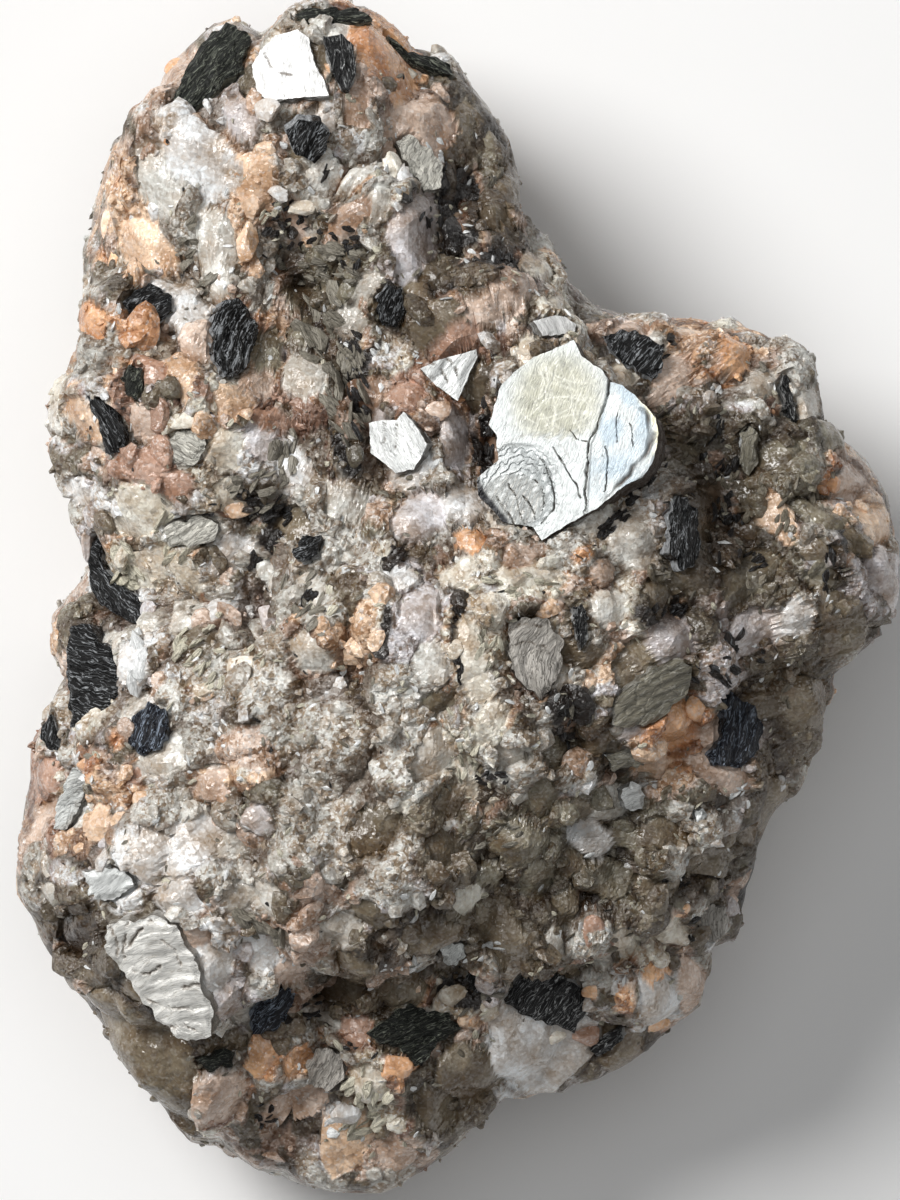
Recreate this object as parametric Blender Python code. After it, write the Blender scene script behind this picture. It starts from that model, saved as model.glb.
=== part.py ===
"""Hand specimen of coarse granite that holds books of silver and black mica.

The lump lies on its flat foot with its best face up. Places on that face are written in millimetres,
across from the left edge and down from the top edge of a 90 by 120 mm window laid over it.
"""
import math

import bmesh
import bpy
import numpy as np
from mathutils import Matrix, Vector

MM = 0.001

# The place in the window that stands over the origin: the middle of the lump's box.
MIDDLE = (45.6, 60.0)

# Heights of the lump in mm: the rim is its widest level, the dome rises above it.
RIM_HEIGHT = 19.0
DOME_HEIGHT = 23.0
UNDERSIDE_DEPTH = 24.5
SIDE_FULLNESS = 0.88
DOME_FULLNESS = 0.92
UNDERSIDE_TAPER = 1.05
UNDERSIDE_FULLNESS = 0.85

# Relief fades to nothing at the rim over this share of the way up, and grains to a small part there.
RELIEF_FADE = 0.45
GRAIN_SHARE_AT_RIM = 0.18

# Air between a mica book and its pocket, and the room above it that the pocket clears.
GAP = 0.3
POCKET_CLEARANCE = 9.0

# A pocket's sharp corners run out to at most this many gaps.
LONGEST_MITRE = 2.0

# Slope of the most tilted book: six up in ten along.
STEEPEST_LEAN = 0.6

# Sheets at a book's top end in narrow steps: number, width and rise, for thick and for thin books.
THICK_BOOK = 2.1
THICK_STEPS = (2, 0.28, 0.22)
THIN_STEPS = (1, 0.20, 0.18)

# The point that every edge of the lump can be seen from.
CENTRE = (43.0, 64.0)

# The lump's outline, clockwise from the top left.
OUTLINE = [
    (19.5, 3.6), (21.2, 1.7), (23.3, 1.1), (25.8, 2.7), (28.5, 1.5), (31.0, 0.2), (36.5, 0.2),
    (38.8, 2.5), (41.2, 4.6), (45.0, 5.2), (46.8, 7.5), (49.0, 10.7), (50.8, 15.0), (51.9, 18.3),
    (51.8, 20.5), (52.8, 24.5), (55.0, 25.0), (57.0, 28.0), (60.0, 30.2), (64.0, 31.4), (68.0, 31.4),
    (71.2, 32.0), (73.3, 31.5), (76.8, 34.0), (79.2, 35.0), (80.5, 37.5), (82.0, 40.5), (84.5, 43.7),
    (87.0, 46.2), (89.0, 49.5), (89.8, 53.0), (89.8, 54.8), (89.0, 58.0), (88.0, 61.5), (86.5, 63.1),
    (84.5, 62.7), (83.9, 65.2), (82.5, 66.5), (82.4, 68.0), (81.2, 71.5), (81.6, 74.5), (80.8, 75.5),
    (79.0, 79.5), (77.2, 81.5), (76.1, 85.0), (74.8, 88.8), (73.7, 94.0), (71.2, 95.0), (70.6, 98.0),
    (70.3, 101.0), (67.2, 104.0), (64.0, 106.2), (60.0, 108.7), (57.5, 109.4), (56.5, 110.3),
    (52.5, 110.6), (50.5, 110.2), (48.3, 111.8), (45.5, 115.0), (42.2, 117.8), (38.0, 119.7),
    (32.5, 119.7), (30.0, 118.8), (28.2, 117.5), (25.7, 117.3), (23.6, 115.7), (21.8, 114.0),
    (19.3, 114.0), (16.5, 111.0), (13.0, 106.8), (9.0, 102.2), (6.0, 98.8), (3.5, 94.5), (1.7, 89.5),
    (1.7, 84.5), (2.4, 78.0), (2.8, 73.8), (4.2, 71.3), (5.9, 67.8), (4.7, 65.0), (4.5, 61.5),
    (7.5, 58.0), (8.3, 56.3), (7.4, 52.0), (8.2, 49.2), (6.5, 46.5), (5.6, 43.0), (6.6, 38.8),
    (8.2, 36.0), (8.7, 30.0), (9.2, 22.5), (10.3, 19.0), (11.5, 14.5), (13.5, 12.4), (15.0, 10.0),
    (17.0, 6.0),
]

# Broad swells and hollows: across, down, half width, half length, turn in degrees, height.
SWELLS = [
    (30.0, 10.0, 11.0, 12.0, 0.0, 8.5),
    (17.0, 42.0, 7.0, 17.0, 0.0, 4.5),
    (44.0, 70.0, 17.0, 18.0, 20.0, 3.5),
    (57.5, 44.0, 11.5, 12.0, 0.0, 6.0),
    (22.0, 84.0, 9.0, 10.0, 0.0, 3.0),
    (83.0, 50.0, 6.0, 11.0, 0.0, 4.0),
    (30.0, 110.0, 12.0, 6.0, 0.0, 3.0),
    (66.0, 98.0, 6.0, 7.0, 0.0, 3.5),
    (67.0, 72.0, 6.0, 6.0, 0.0, 2.5),
    (71.0, 51.0, 5.0, 9.0, 15.0, -5.5),
    (48.5, 44.0, 2.2, 5.0, 0.0, -3.0),
    (46.0, 21.5, 3.6, 6.5, -12.0, -5.0),
    (50.5, 26.0, 3.0, 2.6, 0.0, -2.5),
    (8.0, 93.5, 3.6, 3.2, 0.0, -3.5),
    (83.5, 56.8, 1.0, 3.4, 10.0, -3.0),
    (66.5, 61.0, 2.0, 2.0, 0.0, -2.5),
    (56.5, 72.0, 1.4, 3.2, 0.0, -2.5),
    (31.5, 99.5, 2.6, 2.6, 0.0, -3.0),
    (27.0, 22.5, 2.4, 2.8, 0.0, -1.8),
]

# The dark seam from the head to the middle, and the ledge along the foot of the central bulge.
SEAM = [(29.0, 26.0), (31.0, 31.0), (34.5, 36.0), (36.5, 42.0), (37.0, 46.5)]
SEAM_HALF_WIDTH = 1.1
SEAM_DEPTH = 2.8
LEDGE = [(18.0, 101.5), (26.0, 97.0), (34.0, 96.5), (47.0, 94.5), (60.0, 93.5), (72.0, 87.5), (82.0, 83.0)]
LEDGE_DROP = 4.5
LEDGE_RUN = 3.6
LEDGE_FADE = 8.0

# Broken faces and grain faces on the lump: mean size and height in mm.
GRAIN_SIZES = ((19.0, 6.0), (7.5, 3.0), (4.2, 1.6))
GRAIN_SEED = 41

# The block of grains reaches this far from the origin each way.
GRAIN_REACH = 66.0

# Grain faces before scaling: how far they tilt, how fast they fall away to the sides, and their mean
# height, taken off so that grains stand half out and half in.
GRAIN_TILT = 0.5
GRAIN_ROUNDNESS = 1.2
MEAN_GRAIN = 0.40

# Colour, roughness and metallic value of the rock and of each kind of mica.
GRANITE_LOOK = ((0.42, 0.33, 0.27), 0.55, 0.0)
BOOK_LOOKS = {
    "silver": ((0.83, 0.84, 0.80), 0.28, 0.35),
    "pale": ((0.50, 0.47, 0.41), 0.45, 0.15),
    "black": ((0.035, 0.034, 0.036), 0.35, 0.10),
}


def to_plane(across, down):
    """Turn a place in the window into x and y in mm about the origin."""
    return across - MIDDLE[0], MIDDLE[1] - down


CENTRE_X, CENTRE_Y = to_plane(*CENTRE)


def rim_radius(angle):
    """Distance in mm from the centre to the outline in each direction."""
    corners = np.array([to_plane(*point) for point in OUTLINE]) - (CENTRE_X, CENTRE_Y)
    corner_angles = np.arctan2(corners[:, 1], corners[:, 0])
    return np.interp(angle, corner_angles, np.hypot(corners[:, 0], corners[:, 1]), period=2 * math.pi)


def smooth_step(value):
    """Rise from 0 to 1 as value goes from 0 to 1, level at both ends."""
    clipped = np.clip(value, 0.0, 1.0)
    return clipped * clipped * (3.0 - 2.0 * clipped)


def distance_to_line(x, y, line):
    """Distance in mm from each point to a bent line given by its corners."""
    corners = [np.array(to_plane(*point)) for point in line]
    nearest = np.full(np.shape(x), np.inf)
    for start, end in zip(corners, corners[1:]):
        run = end - start
        share = np.clip(((x - start[0]) * run[0] + (y - start[1]) * run[1]) / run.dot(run), 0.0, 1.0)
        gap = np.hypot(x - start[0] - share * run[0], y - start[1] - share * run[1])
        nearest = np.minimum(nearest, gap)
    return nearest


def face_relief(x, y):
    """Height in mm of the swells, hollows, seam and ledge of the upper face."""
    height = np.zeros(np.shape(x))
    for across, down, half_width, half_length, turn, rise in SWELLS:
        swell_x, swell_y = to_plane(across, down)
        cosine, sine = math.cos(math.radians(turn)), math.sin(math.radians(turn))
        along = ((x - swell_x) * cosine + (y - swell_y) * sine) / half_width
        over = ((y - swell_y) * cosine - (x - swell_x) * sine) / half_length
        height = height + rise * np.exp(-(along * along + over * over))
    height = height - SEAM_DEPTH * np.exp(-((distance_to_line(x, y, SEAM) / SEAM_HALF_WIDTH) ** 2))
    across = x + MIDDLE[0]
    down = MIDDLE[1] - y
    ledge_line = np.interp(across, [point[0] for point in LEDGE], [point[1] for point in LEDGE])
    from_left = across - LEDGE[0][0]
    from_right = LEDGE[-1][0] - across
    ends = smooth_step(from_left / LEDGE_FADE) * smooth_step(from_right / LEDGE_FADE)
    return height - LEDGE_DROP * ends * smooth_step((down - ledge_line) / LEDGE_RUN)


def top_height(x, y, lift):
    """Height in mm of the upper face; lift goes from 0 at the rim to 1 over the centre."""
    relief = face_relief(x, y) * smooth_step(lift / RELIEF_FADE)
    return RIM_HEIGHT + DOME_HEIGHT * lift ** DOME_FULLNESS + relief


def grain_relief(points, size, height, seed):
    """Height of rounded, tilted grains that meet in creases.

    Each grain is offset + GRAIN_TILT tilt . away - GRAIN_ROUNDNESS |away|^2, with away = (point - middle)
    / size, and a point takes the highest of its neighbours.
    """
    random = np.random.default_rng(seed)
    low = -int(GRAIN_REACH / size) - 2
    shape = (-2 * low,) * 3
    jitter = random.random(shape + (3,))
    tilt = random.normal(size=shape + (3,))
    offset = random.random(shape)
    cell = np.floor(points / size).astype(int) - low
    relief = np.full(len(points), -np.inf)
    for step in np.ndindex(3, 3, 3):
        near = cell + np.array(step) - 1
        index = (near[:, 0], near[:, 1], near[:, 2])
        away = points / size - (near + low + jitter[index])
        tilted = GRAIN_TILT * np.einsum("ij,ij->i", away, tilt[index])
        rounded = GRAIN_ROUNDNESS * np.einsum("ij,ij->i", away, away)
        relief = np.maximum(relief, offset[index] + tilted - rounded)
    return (relief - MEAN_GRAIN) * height


def lump_points(direction):
    """Carry points of a unit ball onto the lump: rim by outline, dome above, shallow bowl below."""
    angle = np.arctan2(direction[:, 1], direction[:, 0])
    spread = np.hypot(direction[:, 0], direction[:, 1])
    lift = np.abs(direction[:, 2])
    above = direction[:, 2] > 0.0
    radius = rim_radius(angle) * spread ** np.where(above, SIDE_FULLNESS, UNDERSIDE_TAPER)
    x = CENTRE_X + radius * np.cos(angle)
    y = CENTRE_Y + radius * np.sin(angle)
    below = RIM_HEIGHT - UNDERSIDE_DEPTH * lift ** UNDERSIDE_FULLNESS
    z = np.where(above, top_height(x, y, lift), below)
    points = np.column_stack((x, y, z))
    relief = sum(
        grain_relief(points, size, height, GRAIN_SEED + number)
        for number, (size, height) in enumerate(GRAIN_SIZES)
    )
    share = GRAIN_SHARE_AT_RIM + (1.0 - GRAIN_SHARE_AT_RIM) * smooth_step(lift / RELIEF_FADE)
    return points + direction * (relief * share)[:, None]


def face_plane(places):
    """The plane that best fits the upper face over some places in mm: its middle height and its slopes."""
    x, y = places[:, 0], places[:, 1]
    angle = np.arctan2(y - CENTRE_Y, x - CENTRE_X)
    share = np.clip(np.hypot(x - CENTRE_X, y - CENTRE_Y) / rim_radius(angle), 0.0, 0.999)
    spread = share ** (1.0 / SIDE_FULLNESS)
    direction = np.column_stack((spread * np.cos(angle), spread * np.sin(angle), np.sqrt(1.0 - spread**2)))
    points = lump_points(direction)
    middle = places.mean(axis=0)
    terms = np.column_stack((np.ones(len(points)), points[:, :2] - middle))
    height, slope_x, slope_y = np.linalg.lstsq(terms, points[:, 2], rcond=None)[0]
    return float(height), float(slope_x), float(slope_y)


def new_collection(name):
    collection = bpy.data.collections.new(name)
    bpy.context.scene.collection.children.link(collection)
    return collection


def new_material(name, colour, roughness, metallic):
    material = bpy.data.materials.new(name)
    material.use_nodes = True
    shader = material.node_tree.nodes["Principled BSDF"]
    shader.inputs["Base Color"].default_value = (*colour, 1.0)
    shader.inputs["Roughness"].default_value = roughness
    shader.inputs["Metallic"].default_value = metallic
    return material


def make_lump(collection, pockets):
    """One closed lump from an icosphere, cut off level at the foot and pocketed for the books."""
    bpy.ops.mesh.primitive_ico_sphere_add(subdivisions=5, radius=1.0)
    lump = bpy.context.object
    lump.name = "granite_matrix"
    lump.users_collection[0].objects.unlink(lump)
    collection.objects.link(lump)
    corners = np.empty(len(lump.data.vertices) * 3, dtype=np.float32)
    lump.data.vertices.foreach_get("co", corners)
    directions = corners.reshape(-1, 3).astype(float)
    points = lump_points(directions) * MM
    lump.data.vertices.foreach_set("co", points.astype(np.float32).ravel())
    mesh = bmesh.new()
    mesh.from_mesh(lump.data)
    everything = mesh.verts[:] + mesh.edges[:] + mesh.faces[:]
    cut = bmesh.ops.bisect_plane(
        mesh, geom=everything, plane_co=(0.0, 0.0, 0.0), plane_no=(0.0, 0.0, 1.0), clear_inner=True
    )
    foot_edges = [item for item in cut["geom_cut"] if isinstance(item, bmesh.types.BMEdge)]
    bmesh.ops.holes_fill(mesh, edges=foot_edges)
    bmesh.ops.recalc_face_normals(mesh, faces=mesh.faces[:])
    mesh.to_mesh(lump.data)
    mesh.free()
    lump.data.materials.append(new_material("granite", *GRANITE_LOOK))
    cut_pockets = lump.modifiers.new("mica pockets", "BOOLEAN")
    cut_pockets.operation = "DIFFERENCE"
    cut_pockets.operand_type = "COLLECTION"
    cut_pockets.collection = pockets
    cut_pockets.solver = "EXACT"


def grown(outline, distance):
    """Move each side of a closed outline outward by a distance, corners mitred."""
    corners = np.array(outline)
    before = corners - np.roll(corners, 1, axis=0)
    after = np.roll(corners, -1, axis=0) - corners
    before /= np.linalg.norm(before, axis=1)[:, None]
    after /= np.linalg.norm(after, axis=1)[:, None]
    turning = np.sum(np.cross(before, after))
    side = 1.0 if turning > 0.0 else -1.0
    normal_before = side * np.column_stack((before[:, 1], -before[:, 0]))
    normal_after = side * np.column_stack((after[:, 1], -after[:, 0]))
    mitre = normal_before + normal_after
    mitre /= np.sum(mitre * normal_after, axis=1)[:, None]
    length = np.linalg.norm(mitre, axis=1)
    mitre *= (np.minimum(length, LONGEST_MITRE) / length)[:, None]
    return corners + mitre * distance


def slab_mesh(name, outline, bottom, top):
    """A flat outline in mm made into a closed slab between two levels."""
    curve = bpy.data.curves.new(name, "CURVE")
    curve.dimensions = "2D"
    curve.fill_mode = "BOTH"
    curve.extrude = (top - bottom) / 2 * MM
    spline = curve.splines.new("POLY")
    spline.points.add(len(outline) - 1)
    flat = np.zeros((len(outline), 4))
    flat[:, :2] = np.asarray(outline) * MM
    flat[:, 3] = 1.0
    spline.points.foreach_set("co", flat.ravel())
    spline.use_cyclic_u = True
    guide = bpy.data.objects.new(name, curve)
    bpy.context.scene.collection.objects.link(guide)
    evaluated = guide.evaluated_get(bpy.context.evaluated_depsgraph_get())
    slab = bpy.data.meshes.new_from_object(evaluated)
    bpy.data.objects.remove(guide)
    bpy.data.curves.remove(curve)
    slab.name = name
    slab.transform(Matrix.Translation((0.0, 0.0, (top + bottom) / 2 * MM)))
    mesh = bmesh.new()
    mesh.from_mesh(slab)
    bmesh.ops.remove_doubles(mesh, verts=mesh.verts[:], dist=0.000001)
    bmesh.ops.recalc_face_normals(mesh, faces=mesh.faces[:])
    mesh.to_mesh(slab)
    mesh.free()
    return slab


def step_top(slab, steps, inset, rise):
    """Raise the slab's top in narrow steps, as the sheets of a book end one behind another."""
    mesh = bmesh.new()
    mesh.from_mesh(slab)
    for _ in range(steps):
        top_level = max(vertex.co.z for vertex in mesh.verts)
        top = [face for face in mesh.faces if min(vertex.co.z for vertex in face.verts) > top_level - 1e-6]
        bmesh.ops.inset_region(mesh, faces=top, thickness=inset * MM, depth=rise * MM, use_even_offset=True)
    mesh.to_mesh(slab)
    mesh.free()


def up_from_slopes(slope_x, slope_y):
    """Upward unit vector of a plane, its lean held to the steepest that a book takes."""
    steepest = max(math.hypot(slope_x, slope_y), 1e-6)
    hold = min(1.0, STEEPEST_LEAN / steepest)
    return Vector((-slope_x * hold, -slope_y * hold, 1.0)).normalized()


def make_book(specimen, pockets, kind, name, thickness, proud, outline, lean=None):
    """One mica book: a stepped slab of sheets set in the face, and the pocket that clears it."""
    places = np.array([to_plane(*point) for point in outline])
    middle = places.mean(axis=0)
    local = places - middle
    footprint = np.vstack((middle, places, middle + 0.5 * local))
    height, slope_x, slope_y = face_plane(footprint)
    up = up_from_slopes(slope_x, slope_y) if lean is None else Vector(lean).normalized()
    steps, inset, rise = THICK_STEPS if thickness > THICK_BOOK else THIN_STEPS
    slab = slab_mesh(name, local, proud - thickness, proud - steps * rise)
    step_top(slab, steps, inset, rise)
    slab.materials.append(new_material(name + "_mica", *BOOK_LOOKS[kind]))
    room = slab_mesh(name + "_pocket", grown(local, GAP), proud - thickness - GAP, proud + POCKET_CLEARANCE)
    book = bpy.data.objects.new(name, slab)
    pocket = bpy.data.objects.new(name + "_pocket", room)
    for piece, group in ((book, specimen), (pocket, pockets)):
        piece.location = Vector((middle[0], middle[1], height)) * MM
        piece.rotation_mode = "QUATERNION"
        piece.rotation_quaternion = Vector((0.0, 0.0, 1.0)).rotation_difference(up)
        group.objects.link(piece)
    pocket.hide_render = True
    pocket.display_type = "WIRE"


# Silver books: name, thickness, how far the top stands proud, outline.
SILVER_BOOKS = [
    ("silver_plate_large", 6.0, 2.6, [
        (50.2, 39.0), (51.5, 37.8), (53.5, 36.2), (55.2, 35.5), (57.5, 34.6), (58.3, 36.2), (60.3, 37.5),
        (61.2, 38.8), (62.5, 39.2), (64.0, 40.5), (65.8, 42.5), (66.2, 44.0), (66.0, 45.5), (65.5, 47.0),
        (64.5, 48.5), (63.0, 49.2), (60.0, 51.5), (57.0, 53.2), (54.5, 54.7), (53.5, 53.2), (50.5, 52.8),
        (49.5, 51.5), (48.0, 50.0), (47.8, 48.3), (50.0, 46.5), (49.8, 44.0), (49.0, 43.0)]),
    ("silver_chip_above_plate", 2.0, 1.0, [
        (52.4, 32.9), (55.0, 32.0), (56.2, 32.1), (57.4, 32.9), (57.2, 33.6), (55.2, 34.3), (53.4, 34.4)]),
    ("silver_plate_top", 3.0, 1.0, [
        (27.7, 4.0), (30.0, 3.6), (31.2, 4.5), (31.6, 6.0), (32.2, 7.8), (33.0, 9.0), (33.7, 11.0),
        (27.5, 11.2), (26.2, 10.5), (25.6, 8.5), (25.3, 7.2), (26.2, 5.5)]),
    ("silver_plate_middle", 3.0, 1.1, [
        (37.0, 42.5), (38.5, 42.2), (40.0, 42.2), (40.8, 41.4), (42.0, 42.5), (43.5, 44.7), (42.8, 46.0),
        (42.0, 47.3), (40.0, 47.7), (38.5, 46.5), (37.2, 45.5)]),
    ("silver_wedge", 2.6, 0.8, [
        (42.0, 37.2), (44.0, 36.2), (47.7, 35.2), (47.8, 36.0), (47.0, 37.8), (45.8, 40.5), (43.5, 39.0)]),
    ("silver_chip_lower_left", 2.4, 0.8, [
        (8.5, 86.8), (11.0, 86.3), (13.8, 86.5), (15.0, 87.8), (13.0, 89.1), (11.0, 89.9), (9.2, 89.5)]),
    ("silver_flaky_book_lower_left", 3.6, 1.2, [
        (11.2, 91.6), (13.0, 90.9), (16.5, 90.2), (19.0, 91.0), (19.5, 93.0), (21.0, 95.0), (21.0, 97.5),
        (22.0, 100.0), (21.5, 103.0), (20.0, 104.0), (18.5, 103.8), (16.5, 102.5), (14.0, 99.0),
        (12.8, 97.0), (11.5, 95.5), (10.8, 93.5)]),
    ("silver_round_flake", 1.8, 0.7, [
        (61.2, 78.5), (62.5, 77.7), (64.0, 78.0), (64.6, 79.3), (64.0, 80.6), (62.5, 80.9), (61.3, 80.0)]),
    ("silver_flake_right", 1.6, 0.5, [
        (69.0, 80.6), (70.0, 80.2), (70.4, 81.2), (70.0, 82.3), (69.2, 82.0)]),
    ("silver_flake_foot", 1.8, 0.7, [
        (43.8, 94.0), (45.0, 93.2), (46.4, 93.7), (46.6, 95.2), (45.6, 96.4), (44.2, 96.2)]),
]

# Pale books, seen partly from the edge of their sheets.
PALE_BOOKS = [
    ("pale_book_centre", 3.2, 0.7, [
        (50.8, 62.2), (52.0, 61.7), (54.5, 61.5), (56.2, 64.0), (56.0, 66.5), (55.0, 69.0), (54.0, 70.0),
        (52.5, 68.8), (50.8, 67.0), (50.5, 64.5)]),
    ("pale_book_right", 3.0, 0.9, [
        (60.2, 70.5), (62.0, 68.5), (64.5, 66.5), (67.5, 65.6), (69.0, 66.5), (69.2, 68.5), (67.5, 70.5),
        (65.0, 72.0), (62.5, 72.6), (60.6, 72.2)]),
    ("pale_flake_right", 2.0, 0.6, [
        (60.2, 75.2), (62.0, 74.2), (64.8, 74.0), (65.2, 75.3), (63.5, 76.6), (61.0, 77.0)]),
    ("grey_fan_foot", 2.2, 0.5, [
        (69.2, 90.5), (71.0, 90.0), (72.6, 90.4), (73.0, 92.0), (72.4, 94.0), (71.0, 94.4), (69.8, 93.5)]),
    ("silver_grey_fan_left", 2.2, 0.6, [
        (5.6, 82.8), (5.8, 80.0), (6.8, 77.5), (8.3, 75.8), (9.6, 76.4), (9.7, 78.2), (8.8, 80.5),
        (7.2, 82.8)]),
    ("pale_book_left", 2.4, 0.6, [
        (16.6, 53.0), (18.5, 51.7), (21.0, 51.6), (22.4, 52.3), (21.8, 54.0), (19.5, 55.0), (17.2, 54.8)]),
    ("pale_book_upper_left", 2.4, 0.6, [
        (16.6, 44.5), (18.0, 43.2), (20.5, 43.1), (21.4, 44.6), (20.4, 46.6), (18.0, 47.0)]),
    ("pale_book_far_right", 2.0, 0.6, [
        (73.6, 43.5), (74.6, 42.5), (75.6, 43.6), (75.5, 46.5), (74.6, 48.0), (73.7, 46.8)]),
    ("pale_book_head", 2.6, 0.6, [
        (39.6, 14.6), (41.0, 13.6), (43.0, 15.0), (44.4, 17.0), (44.0, 19.4), (42.4, 20.0), (40.8, 18.2)]),
    ("grey_book_foot", 2.2, 0.5, [
        (30.2, 105.5), (32.0, 104.2), (34.6, 105.0), (34.8, 107.6), (33.0, 109.0), (30.8, 108.4)]),
]

BLACK_BOOKS = [
    ("black_book_top_left", 3.4, 0.9, [
        (20.6, 3.6), (22.6, 2.2), (23.8, 2.6), (25.2, 3.8), (25.4, 4.8), (24.6, 6.6), (24.7, 7.8),
        (23.4, 8.6), (22.4, 10.0), (20.4, 11.6), (18.6, 13.6), (17.4, 13.4), (17.6, 10.4), (18.4, 8.0),
        (19.4, 5.6)]),
    ("black_ridge_top", 2.4, 0.4, [
        (29.4, 1.8), (31.0, 1.1), (36.2, 1.1), (37.6, 2.4), (36.0, 3.0), (33.0, 2.8), (30.0, 2.8)]),
    ("black_ridge_top_right", 2.2, 0.4, [
        (38.5, 3.6), (40.8, 5.4), (43.8, 6.0), (45.2, 6.8), (45.4, 7.9), (43.6, 7.8), (41.0, 6.9),
        (38.8, 5.2)]),
    ("black_block_beside_top_plate", 2.6, 0.8, [
        (32.4, 4.2), (34.3, 3.9), (35.6, 5.2), (35.8, 8.2), (35.0, 10.2), (34.3, 10.0), (33.4, 8.3),
        (32.7, 6.5)]),
    ("black_nugget_head", 2.8, 1.0, [
        (28.6, 13.4), (30.0, 12.3), (32.2, 12.4), (33.2, 13.8), (32.8, 15.8), (31.4, 16.7), (29.6, 16.0)]),
    ("black_book_upper_left", 2.6, 0.8, [
        (12.6, 30.6), (13.8, 29.2), (15.2, 28.6), (17.6, 29.8), (17.7, 31.4), (16.2, 33.0), (13.6, 32.6)]),
    ("black_streaked_oval", 3.2, 1.1, [
        (21.0, 33.0), (22.4, 30.4), (24.0, 29.9), (25.6, 31.4), (26.4, 33.6), (25.4, 36.0), (24.0, 38.0),
        (22.0, 38.8), (20.9, 36.5)]),
    ("black_book_by_seam", 2.6, 0.4, [
        (37.4, 30.4), (38.8, 28.7), (40.4, 29.2), (40.7, 31.4), (39.8, 33.3), (38.2, 33.0)]),
    ("black_spur_left", 2.4, 0.6, [
        (8.8, 39.8), (10.4, 40.0), (12.6, 41.4), (13.4, 43.6), (12.8, 45.4), (10.8, 45.8), (10.2, 43.2)]),
    ("black_wedge_upper_left", 2.2, 0.5, [
        (12.2, 38.0), (13.2, 36.6), (14.6, 36.9), (14.9, 39.4), (14.2, 40.6), (13.2, 40.2)]),
    ("black_crescent_left", 3.0, 0.7, [
        (8.9, 54.4), (9.9, 53.4), (10.9, 53.6), (10.3, 55.0), (10.6, 56.6), (12.4, 58.4), (14.6, 59.6),
        (15.8, 60.8), (15.6, 62.6), (13.0, 62.0), (10.2, 60.6), (8.8, 58.6)]),
    ("black_square_left", 3.4, 0.9, [
        (6.9, 62.7), (8.5, 62.1), (9.7, 62.5), (10.3, 64.0), (12.0, 64.5), (12.7, 65.5), (13.2, 67.5),
        (13.4, 69.6), (12.5, 71.0), (7.4, 72.7), (6.8, 70.5), (6.6, 66.0)]),
    ("black_speckled_left", 3.0, 0.8, [
        (14.0, 71.0), (15.4, 69.9), (17.2, 70.6), (17.7, 72.8), (17.0, 75.0), (14.6, 75.4), (13.0, 74.2),
        (13.1, 72.5)]),
    ("black_book_left_edge", 2.0, 0.4, [
        (4.5, 71.9), (5.3, 70.9), (5.7, 71.9), (6.2, 73.8), (6.5, 75.0), (4.9, 75.0), (4.1, 73.6)]),
    ("black_book_inner_left", 2.4, 0.5, [
        (29.0, 55.0), (30.6, 53.2), (32.4, 53.6), (32.3, 55.8), (30.8, 56.6), (29.4, 56.2)]),
    ("black_book_above_plate", 3.0, 0.6, [
        (60.3, 33.6), (62.0, 32.8), (64.6, 33.2), (66.2, 35.0), (66.0, 37.4), (65.0, 38.6), (63.4, 37.9),
        (61.8, 36.6), (60.6, 35.4)]),
    ("black_drop_right_of_plate", 3.0, 0.8, [
        (66.0, 51.6), (67.0, 49.8), (68.4, 49.6), (69.6, 51.4), (70.0, 54.0), (69.2, 56.8), (67.4, 57.4),
        (66.0, 55.4)]),
    ("black_band_right", 2.0, 0.4, [
        (77.6, 38.4), (78.4, 37.4), (79.2, 39.0), (79.6, 41.6), (79.0, 43.0), (78.0, 41.4)]),
    ("blue_black_book_right", 2.8, 0.7, [
        (70.4, 70.0), (72.4, 68.9), (75.4, 70.4), (76.6, 72.4), (76.0, 75.0), (73.6, 76.6), (70.6, 76.4),
        (69.8, 75.4), (71.4, 73.8), (71.6, 71.6)]),
    ("streaked_book_centre", 2.6, 0.5, [
        (56.9, 60.8), (57.9, 60.2), (58.9, 61.6), (58.6, 64.0), (57.8, 64.9), (57.2, 63.2)]),
    ("black_book_foot_middle", 2.8, 0.7, [
        (36.7, 103.0), (39.5, 100.5), (41.0, 100.0), (45.0, 101.0), (46.3, 102.5), (44.0, 104.0),
        (43.0, 105.5), (41.5, 106.3), (40.5, 105.0), (37.5, 103.9)]),
    ("black_book_foot_right", 3.4, 0.9, [
        (50.2, 99.8), (51.8, 95.8), (54.0, 95.7), (57.5, 97.5), (58.3, 98.5), (59.0, 100.5), (57.5, 103.5),
        (54.5, 102.5), (51.5, 100.8)]),
    ("black_book_under_ledge", 2.2, 0.4, [
        (46.3, 97.6), (47.2, 96.1), (48.8, 96.4), (49.0, 98.2), (47.8, 99.4), (46.6, 98.9)]),
    ("black_book_foot_left", 2.8, 0.8, [
        (25.0, 101.4), (26.2, 98.8), (28.6, 97.6), (29.7, 98.8), (28.8, 101.6), (27.2, 103.2),
        (25.4, 103.0)]),
    ("black_sliver_foot", 2.0, 0.4, [
        (58.8, 105.0), (60.2, 103.0), (62.2, 102.2), (62.4, 103.6), (60.8, 105.6), (59.4, 106.0)]),
    ("black_flake_below_flaky_book", 2.0, 0.4, [
        (19.4, 105.6), (21.0, 105.1), (22.6, 104.2), (24.0, 104.8), (23.6, 106.4), (21.0, 106.9)]),
]

# The large plate faces up and to the upper left, so the sheets show along its lower right side.
PLATE_LEAN = (-0.17, 0.15, 1.0)


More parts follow.
